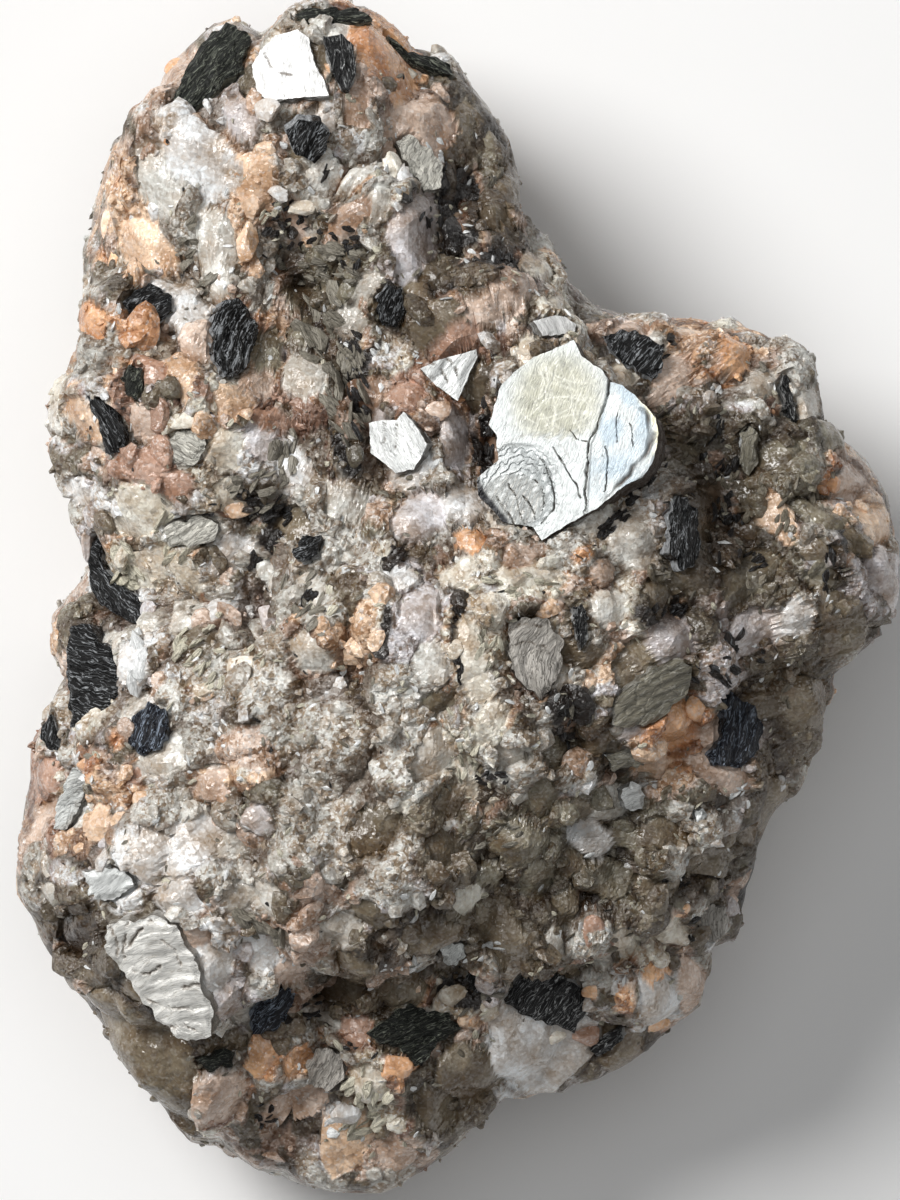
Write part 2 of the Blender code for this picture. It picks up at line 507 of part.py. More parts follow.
def main():
    for item in list(bpy.data.objects):
        bpy.data.objects.remove(item)
    specimen = new_collection("granite_specimen_with_mica")
    pockets = new_collection("pocket cutters")
    for kind, books in (("silver", SILVER_BOOKS), ("pale", PALE_BOOKS), ("black", BLACK_BOOKS)):
        for name, thickness, proud, outline in books:
            lean = PLATE_LEAN if name == "silver_plate_large" else None
            make_book(specimen, pockets, kind, name, thickness, proud, outline, lean)
    make_lump(specimen, pockets)


main()
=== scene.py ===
# %% [markdown]
# A lump of coarse granite lies with its best face up. It is made of quartz, pink and orange feldspar and
# mica that grew together, and the mica stands in it as books: stacks of thin bright or black sheets.
# The frame gives the lump and every book as a plain solid. This script dresses them: first the lump's
# surface, then thousands of grains on it, then the books with their sheets, then floor, light and camera.

# %% Frame, units and the face window
import math

import bpy
import numpy as np
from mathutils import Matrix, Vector


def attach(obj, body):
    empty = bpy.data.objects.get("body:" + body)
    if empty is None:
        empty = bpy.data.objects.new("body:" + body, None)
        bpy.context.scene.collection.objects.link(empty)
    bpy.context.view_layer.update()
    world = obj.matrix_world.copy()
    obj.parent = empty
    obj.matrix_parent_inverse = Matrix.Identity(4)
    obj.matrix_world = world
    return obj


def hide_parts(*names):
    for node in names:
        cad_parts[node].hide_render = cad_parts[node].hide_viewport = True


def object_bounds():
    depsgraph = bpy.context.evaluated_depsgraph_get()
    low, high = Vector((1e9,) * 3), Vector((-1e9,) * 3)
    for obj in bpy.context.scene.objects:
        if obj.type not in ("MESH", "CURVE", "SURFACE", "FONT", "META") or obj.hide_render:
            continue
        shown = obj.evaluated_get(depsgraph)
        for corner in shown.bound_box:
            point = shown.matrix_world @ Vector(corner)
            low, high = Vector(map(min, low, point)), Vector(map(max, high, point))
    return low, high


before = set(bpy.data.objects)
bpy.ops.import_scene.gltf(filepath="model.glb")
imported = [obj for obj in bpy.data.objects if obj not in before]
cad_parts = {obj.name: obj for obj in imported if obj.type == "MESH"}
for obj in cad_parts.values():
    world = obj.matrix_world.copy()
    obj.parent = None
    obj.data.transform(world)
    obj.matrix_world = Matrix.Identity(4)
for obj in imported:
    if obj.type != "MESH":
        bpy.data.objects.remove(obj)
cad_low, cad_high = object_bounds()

MM = 0.001
MIDDLE = (45.6, 60.0)
BOX_LOW = np.array(cad_low) / MM
BOX_HIGH = np.array(cad_high) / MM
print("box in mm", BOX_LOW.round(1), BOX_HIGH.round(1))


def to_plane(across, down):
    """A place on the face, in mm across and down a 90 by 120 mm window, as x and y about the origin."""
    return across - MIDDLE[0], MIDDLE[1] - down


def table(text):
    """Rows of a written table, one to a comma or line: numbers become floats, names stay as they are."""
    rows = [row.split() for row in text.replace("\n", ",").split(",")]
    return [tuple(word if word[0].isalpha() else float(word) for word in row) for row in rows if row]


# %% [markdown]
# The lump's broad form is the frame's own: an outline seen from above, a dome over it, a shallow bowl
# under it, swells and hollows, a seam and a ledge. The frame holds it with faces some 3 mm wide. The same
# formulas are used again here on a far finer grid, so both agree and the fine surface stays smooth.

# %% The lump's form
RIM_HEIGHT = 19.0
DOME_HEIGHT = 23.0
UNDERSIDE_DEPTH = 24.5
SIDE_FULLNESS = 0.88
DOME_FULLNESS = 0.92
UNDERSIDE_TAPER = 1.05
UNDERSIDE_FULLNESS = 0.85
RELIEF_FADE = 0.45
GRAIN_SHARE_AT_RIM = 0.18
CENTRE_X, CENTRE_Y = to_plane(43.0, 64.0)

OUTLINE = table("""
19.5 3.6, 21.2 1.7, 23.3 1.1, 25.8 2.7, 28.5 1.5, 31 .2, 36.5 .2, 38.8 2.5, 41.2 4.6, 45 5.2, 46.8 7.5
49 10.7, 50.8 15, 51.9 18.3, 51.8 20.5, 52.8 24.5, 55 25, 57 28, 60 30.2, 64 31.4, 68 31.4, 71.2 32
73.3 31.5, 76.8 34, 79.2 35, 80.5 37.5, 82 40.5, 84.5 43.7, 87 46.2, 89 49.5, 89.8 53, 89.8 54.8, 89 58
88 61.5, 86.5 63.1, 84.5 62.7, 83.9 65.2, 82.5 66.5, 82.4 68, 81.2 71.5, 81.6 74.5, 80.8 75.5, 79 79.5
77.2 81.5, 76.1 85, 74.8 88.8, 73.7 94, 71.2 95, 70.6 98, 70.3 101, 67.2 104, 64 106.2, 60 108.7
57.5 109.4, 56.5 110.3, 52.5 110.6, 50.5 110.2, 48.3 111.8, 45.5 115, 42.2 117.8, 38 119.7, 32.5 119.7
30 118.8, 28.2 117.5, 25.7 117.3, 23.6 115.7, 21.8 114, 19.3 114, 16.5 111, 13 106.8, 9 102.2, 6 98.8
3.5 94.5, 1.7 89.5, 1.7 84.5, 2.4 78, 2.8 73.8, 4.2 71.3, 5.9 67.8, 4.7 65, 4.5 61.5, 7.5 58, 8.3 56.3
7.4 52, 8.2 49.2, 6.5 46.5, 5.6 43, 6.6 38.8, 8.2 36, 8.7 30, 9.2 22.5, 10.3 19, 11.5 14.5, 13.5 12.4
15 10, 17 6
""")

# Across, down, half width, half length, turn in degrees, height in mm.
SWELLS = table("""
30 10 11 12 0 8.5, 17 42 7 17 0 4.5, 44 70 17 18 20 3.5, 57.5 44 11.5 12 0 6, 22 84 9 10 0 3
83 50 6 11 0 4, 30 110 12 6 0 3, 66 98 6 7 0 3.5, 67 72 6 6 0 2.5, 71 51 5 9 15 -5.5, 48.5 44 2.2 5 0 -3
46 21.5 3.6 6.5 -12 -5, 50.5 26 3 2.6 0 -2.5, 8 93.5 3.6 3.2 0 -3.5, 83.5 56.8 1 3.4 10 -3
66.5 61 2 2 0 -2.5, 56.5 72 1.4 3.2 0 -2.5, 31.5 99.5 2.6 2.6 0 -3, 27 22.5 2.4 2.8 0 -1.8
""")
SEAM = [(29.0, 26.0), (31.0, 31.0), (34.5, 36.0), (36.5, 42.0), (37.0, 46.5)]
SEAM_HALF_WIDTH = 1.1
# Width of the painted shade along the seam.
SEAM_SHADE_WIDTH = 1.7
SEAM_DEPTH = 2.8
LEDGE = [(18.0, 101.5), (26.0, 97.0), (34.0, 96.5), (47.0, 94.5), (60.0, 93.5), (72.0, 87.5), (82.0, 83.0)]
LEDGE_DROP = 4.5
LEDGE_RUN = 3.6
LEDGE_FADE = 8.0


def rim_radius(angle):
    """Distance from the centre to the outline in each direction."""
    corners = np.array([to_plane(*point) for point in OUTLINE]) - (CENTRE_X, CENTRE_Y)
    corner_angles = np.arctan2(corners[:, 1], corners[:, 0])
    return np.interp(angle, corner_angles, np.hypot(corners[:, 0], corners[:, 1]), period=2 * math.pi)


CALM_TURN = 12.0
RIM_SHARPNESS = 6.0


def calm_radius(angle, share):
    """calm + (rim - calm) share^RIM_SHARPNESS, calm being the rim's mean over CALM_TURN degrees either way.

    The notches of the outline show at the rim and fade inward.
    """
    turns = np.radians(np.linspace(-CALM_TURN, CALM_TURN, 15))
    calm = np.mean([rim_radius(angle + turn) for turn in turns], axis=0)
    return calm + (rim_radius(angle) - calm) * share ** RIM_SHARPNESS


def ease(value):
    """3 t^2 - 2 t^3 with t held between 0 and 1."""
    clipped = np.clip(value, 0.0, 1.0)
    return clipped * clipped * (3.0 - 2.0 * clipped)


def unit(vectors):
    """Vectors divided by their lengths."""
    return vectors / np.linalg.norm(vectors, axis=-1, keepdims=True)


def rim_place(x, y):
    """Direction of a place from the centre, its distance, and the outline's distance that way."""
    angle = np.arctan2(y - CENTRE_Y, x - CENTRE_X)
    return angle, np.hypot(x - CENTRE_X, y - CENTRE_Y), rim_radius(angle)


def distance_to_stretch(x, y, start, run):
    """Distance to the nearest place of one straight stretch: the way along it is held between its ends."""
    length = max(run.dot(run), 1e-9)
    share = np.clip(((x - start[0]) * run[0] + (y - start[1]) * run[1]) / length, 0.0, 1.0)
    return np.hypot(x - start[0] - share * run[0], y - start[1] - share * run[1])


def distance_to_line(x, y, line):
    """Least distance from each point to the stretches of a bent line."""
    corners = [np.array(to_plane(*point)) for point in line]
    nearest = np.full(np.shape(x), np.inf)
    for start, end in zip(corners, corners[1:]):
        nearest = np.minimum(nearest, distance_to_stretch(x, y, start, end - start))
    return nearest


def bell(distance, width):
    """exp(-(distance / width)^2): 1 on the line, fading to nothing past about two widths."""
    return np.exp(-((distance / width) ** 2))


def turned_shares(x, y, across, down, half_width, half_length, turn=0.0):
    """Along and over: the way from a place of the window, turned about it, in shares of its half sizes."""
    place_x, place_y = to_plane(across, down)
    cosine, sine = math.cos(math.radians(turn)), math.sin(math.radians(turn))
    along = (x - place_x) * cosine + (y - place_y) * sine
    over = (y - place_y) * cosine - (x - place_x) * sine
    return along / half_width, over / half_length


def face_relief(x, y):
    """Sum of bell-shaped swells and hollows, less the seam's groove and the drop past the ledge."""
    height = np.zeros(np.shape(x))
    for *place, rise in SWELLS:
        along, over = turned_shares(x, y, *place)
        height = height + rise * np.exp(-(along * along + over * over))
    height = height - SEAM_DEPTH * bell(distance_to_line(x, y, SEAM), SEAM_HALF_WIDTH)
    across = x + MIDDLE[0]
    down = MIDDLE[1] - y
    ledge_line = np.interp(across, [point[0] for point in LEDGE], [point[1] for point in LEDGE])
    from_left = across - LEDGE[0][0]
    from_right = LEDGE[-1][0] - across
    ends = ease(from_left / LEDGE_FADE) * ease(from_right / LEDGE_FADE)
    return height - LEDGE_DROP * ends * ease((down - ledge_line) / LEDGE_RUN)


def hollow_shade(points):
    """1 in the middle of each hollow and of the seam, falling off like their depth: the share of painted
    shade there.
    """
    x, y = points[:, 0], points[:, 1]
    share = bell(distance_to_line(x, y, SEAM), SEAM_SHADE_WIDTH)
    for *place, rise in SWELLS:
        if rise < 0.0:
            along, over = turned_shares(x, y, *place)
            share = np.maximum(share, np.exp(-(along * along) - over * over))
    return share * (points[:, 2] > RIM_HEIGHT - 5.0)


# %% [markdown]
# Granite breaks along its grains, so its surface is a crowd of rounded, tilted faces that meet in creases.
# Each face is a small tilted dome, and every point takes the highest dome near it. Three sizes belong to
# the frame's form, and two finer ones are added here. The same cells later choose the minerals, so a
# change of colour always falls on a crease.

# %% Grain faces
GRAIN_REACH = 66.0
GRAIN_SEED = 41
MEAN_GRAIN = 0.40
MOST_CELLS = 48
GRAIN_SIZES = ((19.0, 6.0), (7.5, 3.0), (4.2, 1.6))
FINE_SIZES = ((2.6, 0.85), (1.1, 0.32))
FINE_SEED = 51
FINE_TILT = (0.62, 0.9)


def grain_cells(points, size, seed, tilt_share=0.5, roundness=1.2):
    """Highest of offset + tilt_share tilt . away - roundness |away|^2 over the cells round each point.

    Also gives each point its winning cell's own random draw, from 0 to 1.
    """
    random = np.random.default_rng(seed)
    low = -int(GRAIN_REACH / size) - 2
    count = min(-2 * low, MOST_CELLS)
    jitter = random.random((count, count, count, 3))
    tilt = random.normal(size=(count, count, count, 3))
    offset = random.random((count, count, count))
    draws = random.random((count, count, count))
    cell = np.floor(points / size).astype(int) - low
    relief = np.full(len(points), -np.inf)
    draw = np.zeros(len(points))
    for step in np.ndindex(3, 3, 3):
        near = cell + np.array(step) - 1
        index = tuple((near % count).T)
        away = points / size - (near + low + jitter[index])
        tilted = tilt_share * np.einsum("ij,ij->i", away, tilt[index])
        rounded = roundness * np.einsum("ij,ij->i", away, away)
        height = offset[index] + tilted - rounded
        draw = np.where(height > relief, draws[index], draw)
        relief = np.maximum(relief, height)
    return relief - MEAN_GRAIN, draw


def lump_form(direction):
    """Ball to smooth lump: radius = rim spread^fullness, height = rim + dome lift^fullness + relief."""
    angle = np.arctan2(direction[:, 1], direction[:, 0])
    spread = np.hypot(direction[:, 0], direction[:, 1])
    lift = np.abs(direction[:, 2])
    above = direction[:, 2] > 0.0
    radius = calm_radius(angle, spread) * spread ** np.where(above, SIDE_FULLNESS, UNDERSIDE_TAPER)
    x = CENTRE_X + radius * np.cos(angle)
    y = CENTRE_Y + radius * np.sin(angle)
    relief = face_relief(x, y) * ease(lift / RELIEF_FADE)
    top = RIM_HEIGHT + DOME_HEIGHT * lift ** DOME_FULLNESS + relief
    below = RIM_HEIGHT - UNDERSIDE_DEPTH * lift ** UNDERSIDE_FULLNESS
    return np.column_stack((x, y, np.where(above, top, below)))


# %% [markdown]
# The minerals. Each has a light and a dark tone as the eye sees them, turned into the linear values that
# Blender's nodes work in, and a share of the grains where nothing else is said.

# %% Minerals
MINERALS = {name: (row[:3], row[3:6], row[6]) for name, *row in table("""
quartz .88 .87 .84 .53 .505 .46 1.6
milky .91 .91 .905 .7 .69 .68 .5
lilac .87 .85 .85 .62 .59 .59 .35
smoky .53 .48 .4 .235 .205 .16 .8
olive .56 .53 .455 .275 .25 .205 .35
pinkish .88 .79 .72 .62 .53 .47 .8
peach .95 .84 .73 .76 .62 .49 .45
orange .92 .74 .57 .7 .48 .33 .12
brick .77 .63 .55 .52 .4 .33 .12
cream .92 .9 .85 .74 .71 .64 .35
dark .2 .16 .13 .06 .045 .035 .16
""")}
MINERAL_NAMES = list(MINERALS)


def linear(colour):
    """Screen colour to linear: c / 12.92 for dark values, ((c + 0.055) / 1.055)^2.4 for the rest."""
    values = np.asarray(colour, dtype=float)
    return np.where(values <= 0.04045, values / 12.92, ((values + 0.055) / 1.055) ** 2.4)


LIGHT_TONES = linear([MINERALS[name][0] for name in MINERAL_NAMES])
DARK_TONES = linear([MINERALS[name][1] for name in MINERAL_NAMES])
BASE_SHARES = np.array([MINERALS[name][2] for name in MINERAL_NAMES])
print(len(MINERAL_NAMES), "minerals")

# %% [markdown]
# Single crystals that can be told apart on the face: mineral, place across and down in the window, half
# width, half length in mm, and turn in degrees. They are built one by one, larger than the grains round
# them.

# %% Single crystals
CRYSTALS = table("""
pinkish 17 7.5 1.8 3.4 -25, orange 17.2 6.6 .9 .9 0, orange 15.2 11.8 .9 .9 0, orange 16.2 14.6 .9 .8 0
peach 13.2 15.6 1.1 1.5 0, orange 12 19 .9 1.2 0, orange 11.3 26 .9 1.3 0, peach 14.4 24 2.1 2.9 -15
peach 10.9 22 1.2 1.8 0, smoky 12 29.4 1.1 1.8 0, milky 20.2 15.2 3.4 3.6 20, peach 24.3 15.2 1.9 3.2 0
quartz 21 23.8 2.4 4.4 10, quartz 16.4 19 1.6 2.6 -10, lilac 23.4 9.8 1.5 1.8 0, milky 26.6 11.6 1.4 1 0
quartz 36 14.6 2.5 2.4 0, lilac 41.2 24.2 2.3 4.6 -8, pinkish 42 11.6 3.8 2.5 -22
orange 38.3 5.6 3.5 2.7 -35, pinkish 35.4 8.6 1.6 1.3 0, cream 41.2 7.4 .8 .8 0, milky 41.6 16.6 2 3 15
cream 39.5 17.9 1.1 2.1 0, quartz 30.5 18.3 1.5 1.4 0, pinkish 27.9 17.2 1.4 1.9 0
smoky 45.6 13.4 1.5 2.6 -20, olive 49.3 14.6 1.2 3 20, smoky 50.6 20.2 1.6 2.8 0
smoky 48.6 10.2 1.6 2.4 20, pinkish 34.6 20.6 3 1.9 8, quartz 37.8 20.6 1.3 2 0, cream 30 21.4 1.2 .9 0
milky 28 20.2 1.1 .8 0, peach 25.4 21.4 1.2 1.4 0, peach 24.8 24.8 1.2 1.9 0, pinkish 51.6 23.2 1.1 1.7 0
quartz 54.2 26.4 1.4 1.2 0, cream 53 28.2 1.5 1.3 0, milky 49.5 29.2 1.5 .8 10, pinkish 50.4 31.2 2 1.6 0
orange 11.8 34.5 1.5 1.7 0, peach 11.4 38.2 1.1 1.9 0, brick 15.8 37.6 1.6 1.7 0, peach 18.7 38 1.5 2.4 10
pinkish 19.6 34 1.9 2.7 -12, peach 23.1 40.4 1.9 2 0, brick 26.9 41.7 2 1.7 0, lilac 26.1 44.2 1.7 2.1 0
pinkish 15 42.7 1.5 1.7 0, cream 19.4 42.4 1.8 .8 0, brick 15.2 47 1.6 1.8 0, brick 17.8 48.6 1.5 1.4 0
brick 45.6 34.8 2.5 1.4 12, pinkish 48.2 32.6 1.6 1.5 0, smoky 43.5 33.2 2.9 1.6 8, lilac 45.4 43.3 1.5 3 0
pinkish 36.6 39.2 1.8 1.8 0, brick 40.6 39 2.3 1.5 15, pinkish 43.5 41 1.2 1 0, cream 7.8 39.8 1.6 2 0
quartz 7.6 43 1.4 1.4 0, milky 10 49.8 1.3 1.3 0, lilac 8.5 53 1 2.7 0, orange 72.3 36 1.9 2.2 0
peach 69.2 33.6 2.6 1.2 -5, milky 71.2 38.9 .8 .7 0, olive 82.3 44 1.6 1.5 0, pinkish 85.4 48.2 1.8 2 0
orange 83.2 48.3 .9 .9 0, peach 86.8 52.7 1.9 2.1 0, lilac 86.2 58.8 2.7 3.7 8, peach 23.7 51 1.4 .9 0
pinkish 51.4 55.6 2.2 1.3 0, orange 34 75.1 1.3 1 0, peach 35.2 65.2 2 1 0, orange 67.4 72.6 2.6 2.8 25
pinkish 71.2 73 1.5 1.8 0, peach 65.6 76.2 2 1.7 0, orange 70 70.6 1.7 1.1 0, orange 63.4 73.6 1 .8 0
lilac 73.8 63 2.2 2.4 0, milky 76.8 62 1.4 2 0, milky 77.4 71.6 1 1 0, lilac 71.2 67.9 1.2 1 0
lilac 42.2 61.8 2.2 2.6 0, quartz 43 66.2 1.8 2 0, milky 40.4 58 1.8 1.5 0, orange 8.8 76.3 1.2 1.1 0
brick 14 77.3 1.1 1.7 0, peach 14.5 79.6 1 1 0, brick 4.3 77.6 1.4 2.2 0, pinkish 4 82.6 1.4 2.3 0
peach 10.8 81.6 1.5 1.8 0, peach 8.8 84.6 1.3 1.2 0, orange 12.2 73.9 .7 .9 0, milky 15.4 84.6 2.2 2.8 0
lilac 26.5 81.2 1.5 1.7 0, lilac 27 61.7 1.2 1.7 0, milky 22 95.2 2.2 2.6 0, lilac 22.8 99 1.7 2 0
smoky 14.8 104 3.4 9.2 34, smoky 7 98 2.4 2.8 0, pinkish 21.8 109.6 2.6 2.4 0, orange 26 106.6 1.7 2.6 0
orange 39.5 106.4 1.4 1.1 0, milky 54.5 105.6 5.9 4.3 0, smoky 46.6 107.6 3.3 3 0
smoky 62.4 105.8 2.4 1.7 25, milky 65.9 100.2 2.2 3.2 8, orange 65.8 97 1.7 1.3 0
orange 65.8 102.6 1.2 .9 0, pinkish 69.2 98.6 1.5 3.2 5, cream 66.8 92.8 1.8 2 0, orange 68.2 91 .8 .7 0
brick 58.8 103.6 1.2 1 0, brick 59.1 93 1 1.4 0, orange 59.2 99.2 .9 .8 0, orange 62.2 99.8 .8 1.2 0
peach 41.5 85.8 1.5 1.2 0, cream 45.6 99.4 1.3 1 0, cream 55.7 103.7 .8 .8 0, peach 34 115.8 2.8 2.2 10
pinkish 39.6 116 2.4 1.8 15, pinkish 29.8 113.4 2.2 1.8 0, cream 36.8 109.4 2.4 2.4 0
milky 34.6 111.4 1.4 1 0, smoky 80.4 62 2 3 10, smoky 78.8 70.2 2.2 2.6 0, smoky 76.4 80.2 2 3 -15
olive 60.8 88.2 2.6 2 0, olive 52 84 2.8 2.4 0, cream 47.2 66 1.4 4.6 8, cream 48.8 71.8 1.5 2.2 -20
cream 46.6 77.4 1.3 2.6 20, cream 52.2 57.6 3.4 1.4 0, milky 13.9 66.2 1.4 2.6 5
cream 13.2 56.4 2.4 1.9 40, cream 17.2 56.2 1.3 2.6 35, smoky 70.8 85.6 2.4 2 0, cream 24.6 66.2 1.5 1.2 20
cream 20.4 68.6 1.3 1 0
""")
print(len(CRYSTALS), "single crystals")

# %% [markdown]
# Wider areas where one mineral gathers: across, down, half width, half length, strength.

# %% Areas of one mineral
AREAS = {
    "milky": table("""
20 64 10 14 1.5, 20 84 8 8 2, 30 14 10 8 1.5, 18 44 3 2 2, 22 64 6 5 2.2, 24 74 6 6 1.6, 17 86.5 4 5 2.5
54.6 104.6 6.8 5.4 9, 65.5 101 2.6 3.6 3
    """),
    "quartz": table("""
36 17 9 9 2, 30 70 14 14 2, 20 20 5 7 3, 35 17 4.5 5 2.5, 36 55 7 6 3, 28 72 9 8 3, 50 73 4 3.5 3
33 86 8 6 3
    """),
    "smoky": table("""
60 88 18 9 2, 77 66 9 20 4, 42 108 20 10 2.6, 44 27 10 6 1.6, 48 17 4 8 5, 44 29.5 5 2.5 3
26 48.5 5 2.5 2.5, 8 93.5 3.5 3.5 9, 13 103 5 9 12, 33 100 5 3 4, 46.5 107.5 5 5 5, 61 105 4 3 4
46 87 6 6 2.5, 53 91.5 8 2.6 5, 76 57 5 4 5, 79 66 4 6 6, 77 78 3.5 6 5, 72.5 86 4 5 4, 62 61.5 4.5 3 2
60 73 3 4 2.5, 49 77 2.4 1.6 4, 41 30 2 2 3, 42.5 97.5 4 2 3
    """),
    "brick": table("""
34 112 14 9 1.6, 22 40 12 9 .9, 31.5 42 3.5 5 1.6, 14.5 47 3.5 3 3, 4.2 80 2.2 6 4, 43 37 5 3 2.5
    """),
    "olive": table("""
60 84 16 7 2, 74 52 9 9 3.5, 33 27 5 3 3, 49.5 12 2.5 5 3, 33 36 3.5 7 4, 53.5 84.5 6 5.5 6
64 86.5 4.5 3.5 4, 61 96.5 3.5 3 3, 68 44 5 4 4, 77 50 5 5.5 4.5, 79.5 44 4 4 3, 41 48.5 2 1.4 4
    """),
    "pinkish": table("""
16 10 4 6 2.5, 29 33 3 4 2.5, 22.5 96 3.5 5 3, 30 90 5 5 2, 36 116 7 3 4, 69.5 98.5 2 4 4, 60 57 4 2.5 2
85.5 48 2.6 2.6 3
    """),
    "peach": table("""
12 23 2.5 7 2.5, 25 18 2.5 5 3, 9.8 82 3.5 4 3, 70 34 5 2.4 2, 87 52 2.6 3 3
    """),
    "orange": table("""
37.8 6 4.4 3.4 5, 22.8 56 1.8 3 2.5, 26 108 2.6 3.5 2, 67.5 73.5 4 4 5, 57.6 56 2.4 1.2 4
41.5 50.7 2 1.2 3, 24 18.2 1.4 1.6 4
    """),
    # Most dark areas lie in the hollows of SWELLS and along the seam, where the dark mineral is partly its
    # own colour and partly painted shade of those hollows.
    "dark": table("""
28.5 22.6 2.6 2.6 5, 34 24 3.6 2.4 3.5, 45.6 21.5 2.8 5 6, 51 26.8 2 1.8 4, 35 36 1.8 9 4, 29.5 51 3 2 2.5
30.5 58 2.5 2.5 2, 31.5 100 2 1.8 4, 47 98.5 2.6 1.6 3.5, 71 46 3 2.6 4, 72 53.5 2.2 5 4
83.2 56.5 .9 3.2 8, 66.5 60.5 1.6 1.6 5, 56.2 72 1.4 3.4 6, 48.7 43.6 1.3 5 7, 39.3 62 .8 5 2
45.8 63.5 .9 5.5 4, 8 93.2 2.6 2.6 9
    """),
    "cream": table("""
27.6 21 2 2 2, 20 47.5 3.5 3 2, 20 66 5 3.5 1.6, 48.6 65.5 1.7 5 9, 47.6 75 1.6 3.6 8, 52 58 5 1.6 4
47 56.5 2 1.6 3, 36 109.5 3.5 4.5 3, 66.8 93 2.2 2.2 3
    """),
    "lilac": table("""
42.5 62 3.5 6 4, 74 63.5 4 3.2 4, 45.4 43 2 4 3, 86.2 58.5 3 4 5
    """),
}
print(sum(len(areas) for areas in AREAS.values()), "areas")

# %% Shares of the minerals from place to place
CHILD_SHARE = 0.3
SHARE_POWER = 1.4
CRYSTAL_PULL = 5.0
CRYSTAL_PULL_WIDTH = 1.25


def mineral_shares(points):
    """Base shares plus, from each area or crystal, strength exp(-(u/w)^2 - (v/l)^2) of its own mineral."""
    shares = np.tile(BASE_SHARES, (len(points), 1))
    shown = ease((points[:, 2] - RIM_HEIGHT + 2.0) / 7.0)
    spots = [(mineral, *area[:4], 0.0, area[4]) for mineral, areas in AREAS.items() for area in areas]
    wide = CRYSTAL_PULL_WIDTH
    spots += [(*row[:3], wide * row[3], wide * row[4], row[5], CRYSTAL_PULL) for row in CRYSTALS]
    for mineral, *place, strength in spots:
        along, over = turned_shares(points[:, 0], points[:, 1], *place)
        near = np.exp(-(along * along) - over * over)
        shares[:, MINERAL_NAMES.index(mineral)] += strength * near * shown
    return shares / shares.sum(axis=1)[:, None]


# %% Crystals between the listed ones
FILL_TRIES = 1400
FILL_SPACING = 0.84
FILL_SIZES = (1.25, 2.5)
FILL_RIM_SHARE = 0.95
SUGARY_PATCH = (38.0, 72.0, 17.0, 20.0)
SUGARY_SHARE_LEFT_OUT = 0.85


def fill_crystals():
    """More crystals between the listed ones: random places, kept where no earlier crystal is too near.

    Each draws its mineral from the shares at its place. Few are kept in the sugary patch.
    """
    random = np.random.default_rng(62)
    kept = [(row[1], row[2], 0.5 * (row[3] + row[4])) for row in CRYSTALS]
    rows = []
    for _ in range(FILL_TRIES):
        across, down = 4.0 + 82.0 * random.random(), 3.0 + 114.0 * random.random()
        half_width = FILL_SIZES[0] + (FILL_SIZES[1] - FILL_SIZES[0]) * random.random() ** 1.6
        half_length = half_width * (1.0 + 0.5 * random.random())
        turn, draw, lot = 180.0 * random.random(), random.random(), random.random()
        mean = 0.5 * (half_width + half_length)
        x, y = to_plane(across, down)
        _, reach, rim = rim_place(x, y)
        if reach > FILL_RIM_SHARE * rim:
            continue
        away = math.hypot(*turned_shares(x, y, *SUGARY_PATCH))
        if away < 1.0 and lot < SUGARY_SHARE_LEFT_OUT:
            continue
        if any(math.hypot(across - a, down - d) < FILL_SPACING * (mean + m) for a, d, m in kept):
            continue
        shares = mineral_shares(np.array([[x, y, 60.0]]))[0] ** SHARE_POWER
        mineral = MINERAL_NAMES[int(np.argmax(draw < np.cumsum(shares / shares.sum())))]
        kept.append((across, down, mean))
        if mineral != "dark":
            rows.append((mineral, across, down, half_width, half_length, turn))
    return rows


ALL_CRYSTALS = CRYSTALS + fill_crystals()
print(len(ALL_CRYSTALS), "crystals with those between")


def cell_minerals(points, form):
    """Mineral and tone of each point from the draws of the grain cells that it lies in.

    A small cell keeps the mineral of the larger cell round it unless its own draw is under CHILD_SHARE.
    On a single crystal's roof the mineral is the crystal's, each facet has its own tone, and a painted
    highlight runs just inside the outline.
    """
    parent = grain_cells(form, GRAIN_SIZES[2][0], GRAIN_SEED + 2)[1]
    child = grain_cells(points, FINE_SIZES[0][0], FINE_SEED, *FINE_TILT)[1]
    crumb = grain_cells(points, FINE_SIZES[1][0], FINE_SEED + 1, *FINE_TILT)[1]
    draw = np.where(child < CHILD_SHARE, child / CHILD_SHARE, parent)
    shares = mineral_shares(points) ** SHARE_POWER
    reach = np.cumsum(shares / shares.sum(axis=1)[:, None], axis=1)
    kinds = np.argmax(draw[:, None] < reach, axis=1)
    mix = 0.05 + 0.4 * ((parent * 5.7) % 1.0) + 0.3 * ((child * 7.3) % 1.0) + 0.25 * crumb
    cover, _, owner, facet, _ = crystal_tops(form)
    on_roof = cover > 0.45
    crystal_kinds = np.array([MINERAL_NAMES.index(row[0]) for row in ALL_CRYSTALS])
    kinds = np.where(on_roof, crystal_kinds[owner], kinds)
    facet_tone = 0.3 + 0.3 * ((owner * 0.37) % 1.0) + 0.4 * ((facet * 0.61 + owner * 0.17) % 1.0)
    facet_tone = facet_tone + 0.14 * (crumb - 0.5)
    # Painted highlight: each roof is made paler in a band just inside its outline.
    rim_highlight = on_roof * np.maximum(1.0 - np.abs(cover - 0.82) / 0.18, 0.0)
    mix = np.clip(np.where(on_roof, facet_tone, mix) + 0.35 * rim_highlight, 0.0, 1.15)[:, None]
    return kinds, DARK_TONES[kinds] * (1.0 - mix) + LIGHT_TONES[kinds] * mix


# %% [markdown]
# The larger single crystals are part of the rock's own surface. Seen from above, each has an outline of a
# few straight sides, and its top is a low roof of flat facets: the least of a few tilted planes. Inside the
# outline the roof takes the place of the fine grains, so the crystal shows as a few smooth, sloping faces.

# %% Roofs of the single crystals
SMALLEST_ROOF = 1.25
CRYSTAL_SIDES = 7
CRYSTAL_FACETS = 5
ROOF_BEVEL = 0.3
ROOF_SOFT = 0.1
FILL_RISE = 0.38
GROOVE_WIDTH = 0.22
GROOVE_DEPTH = 0.25


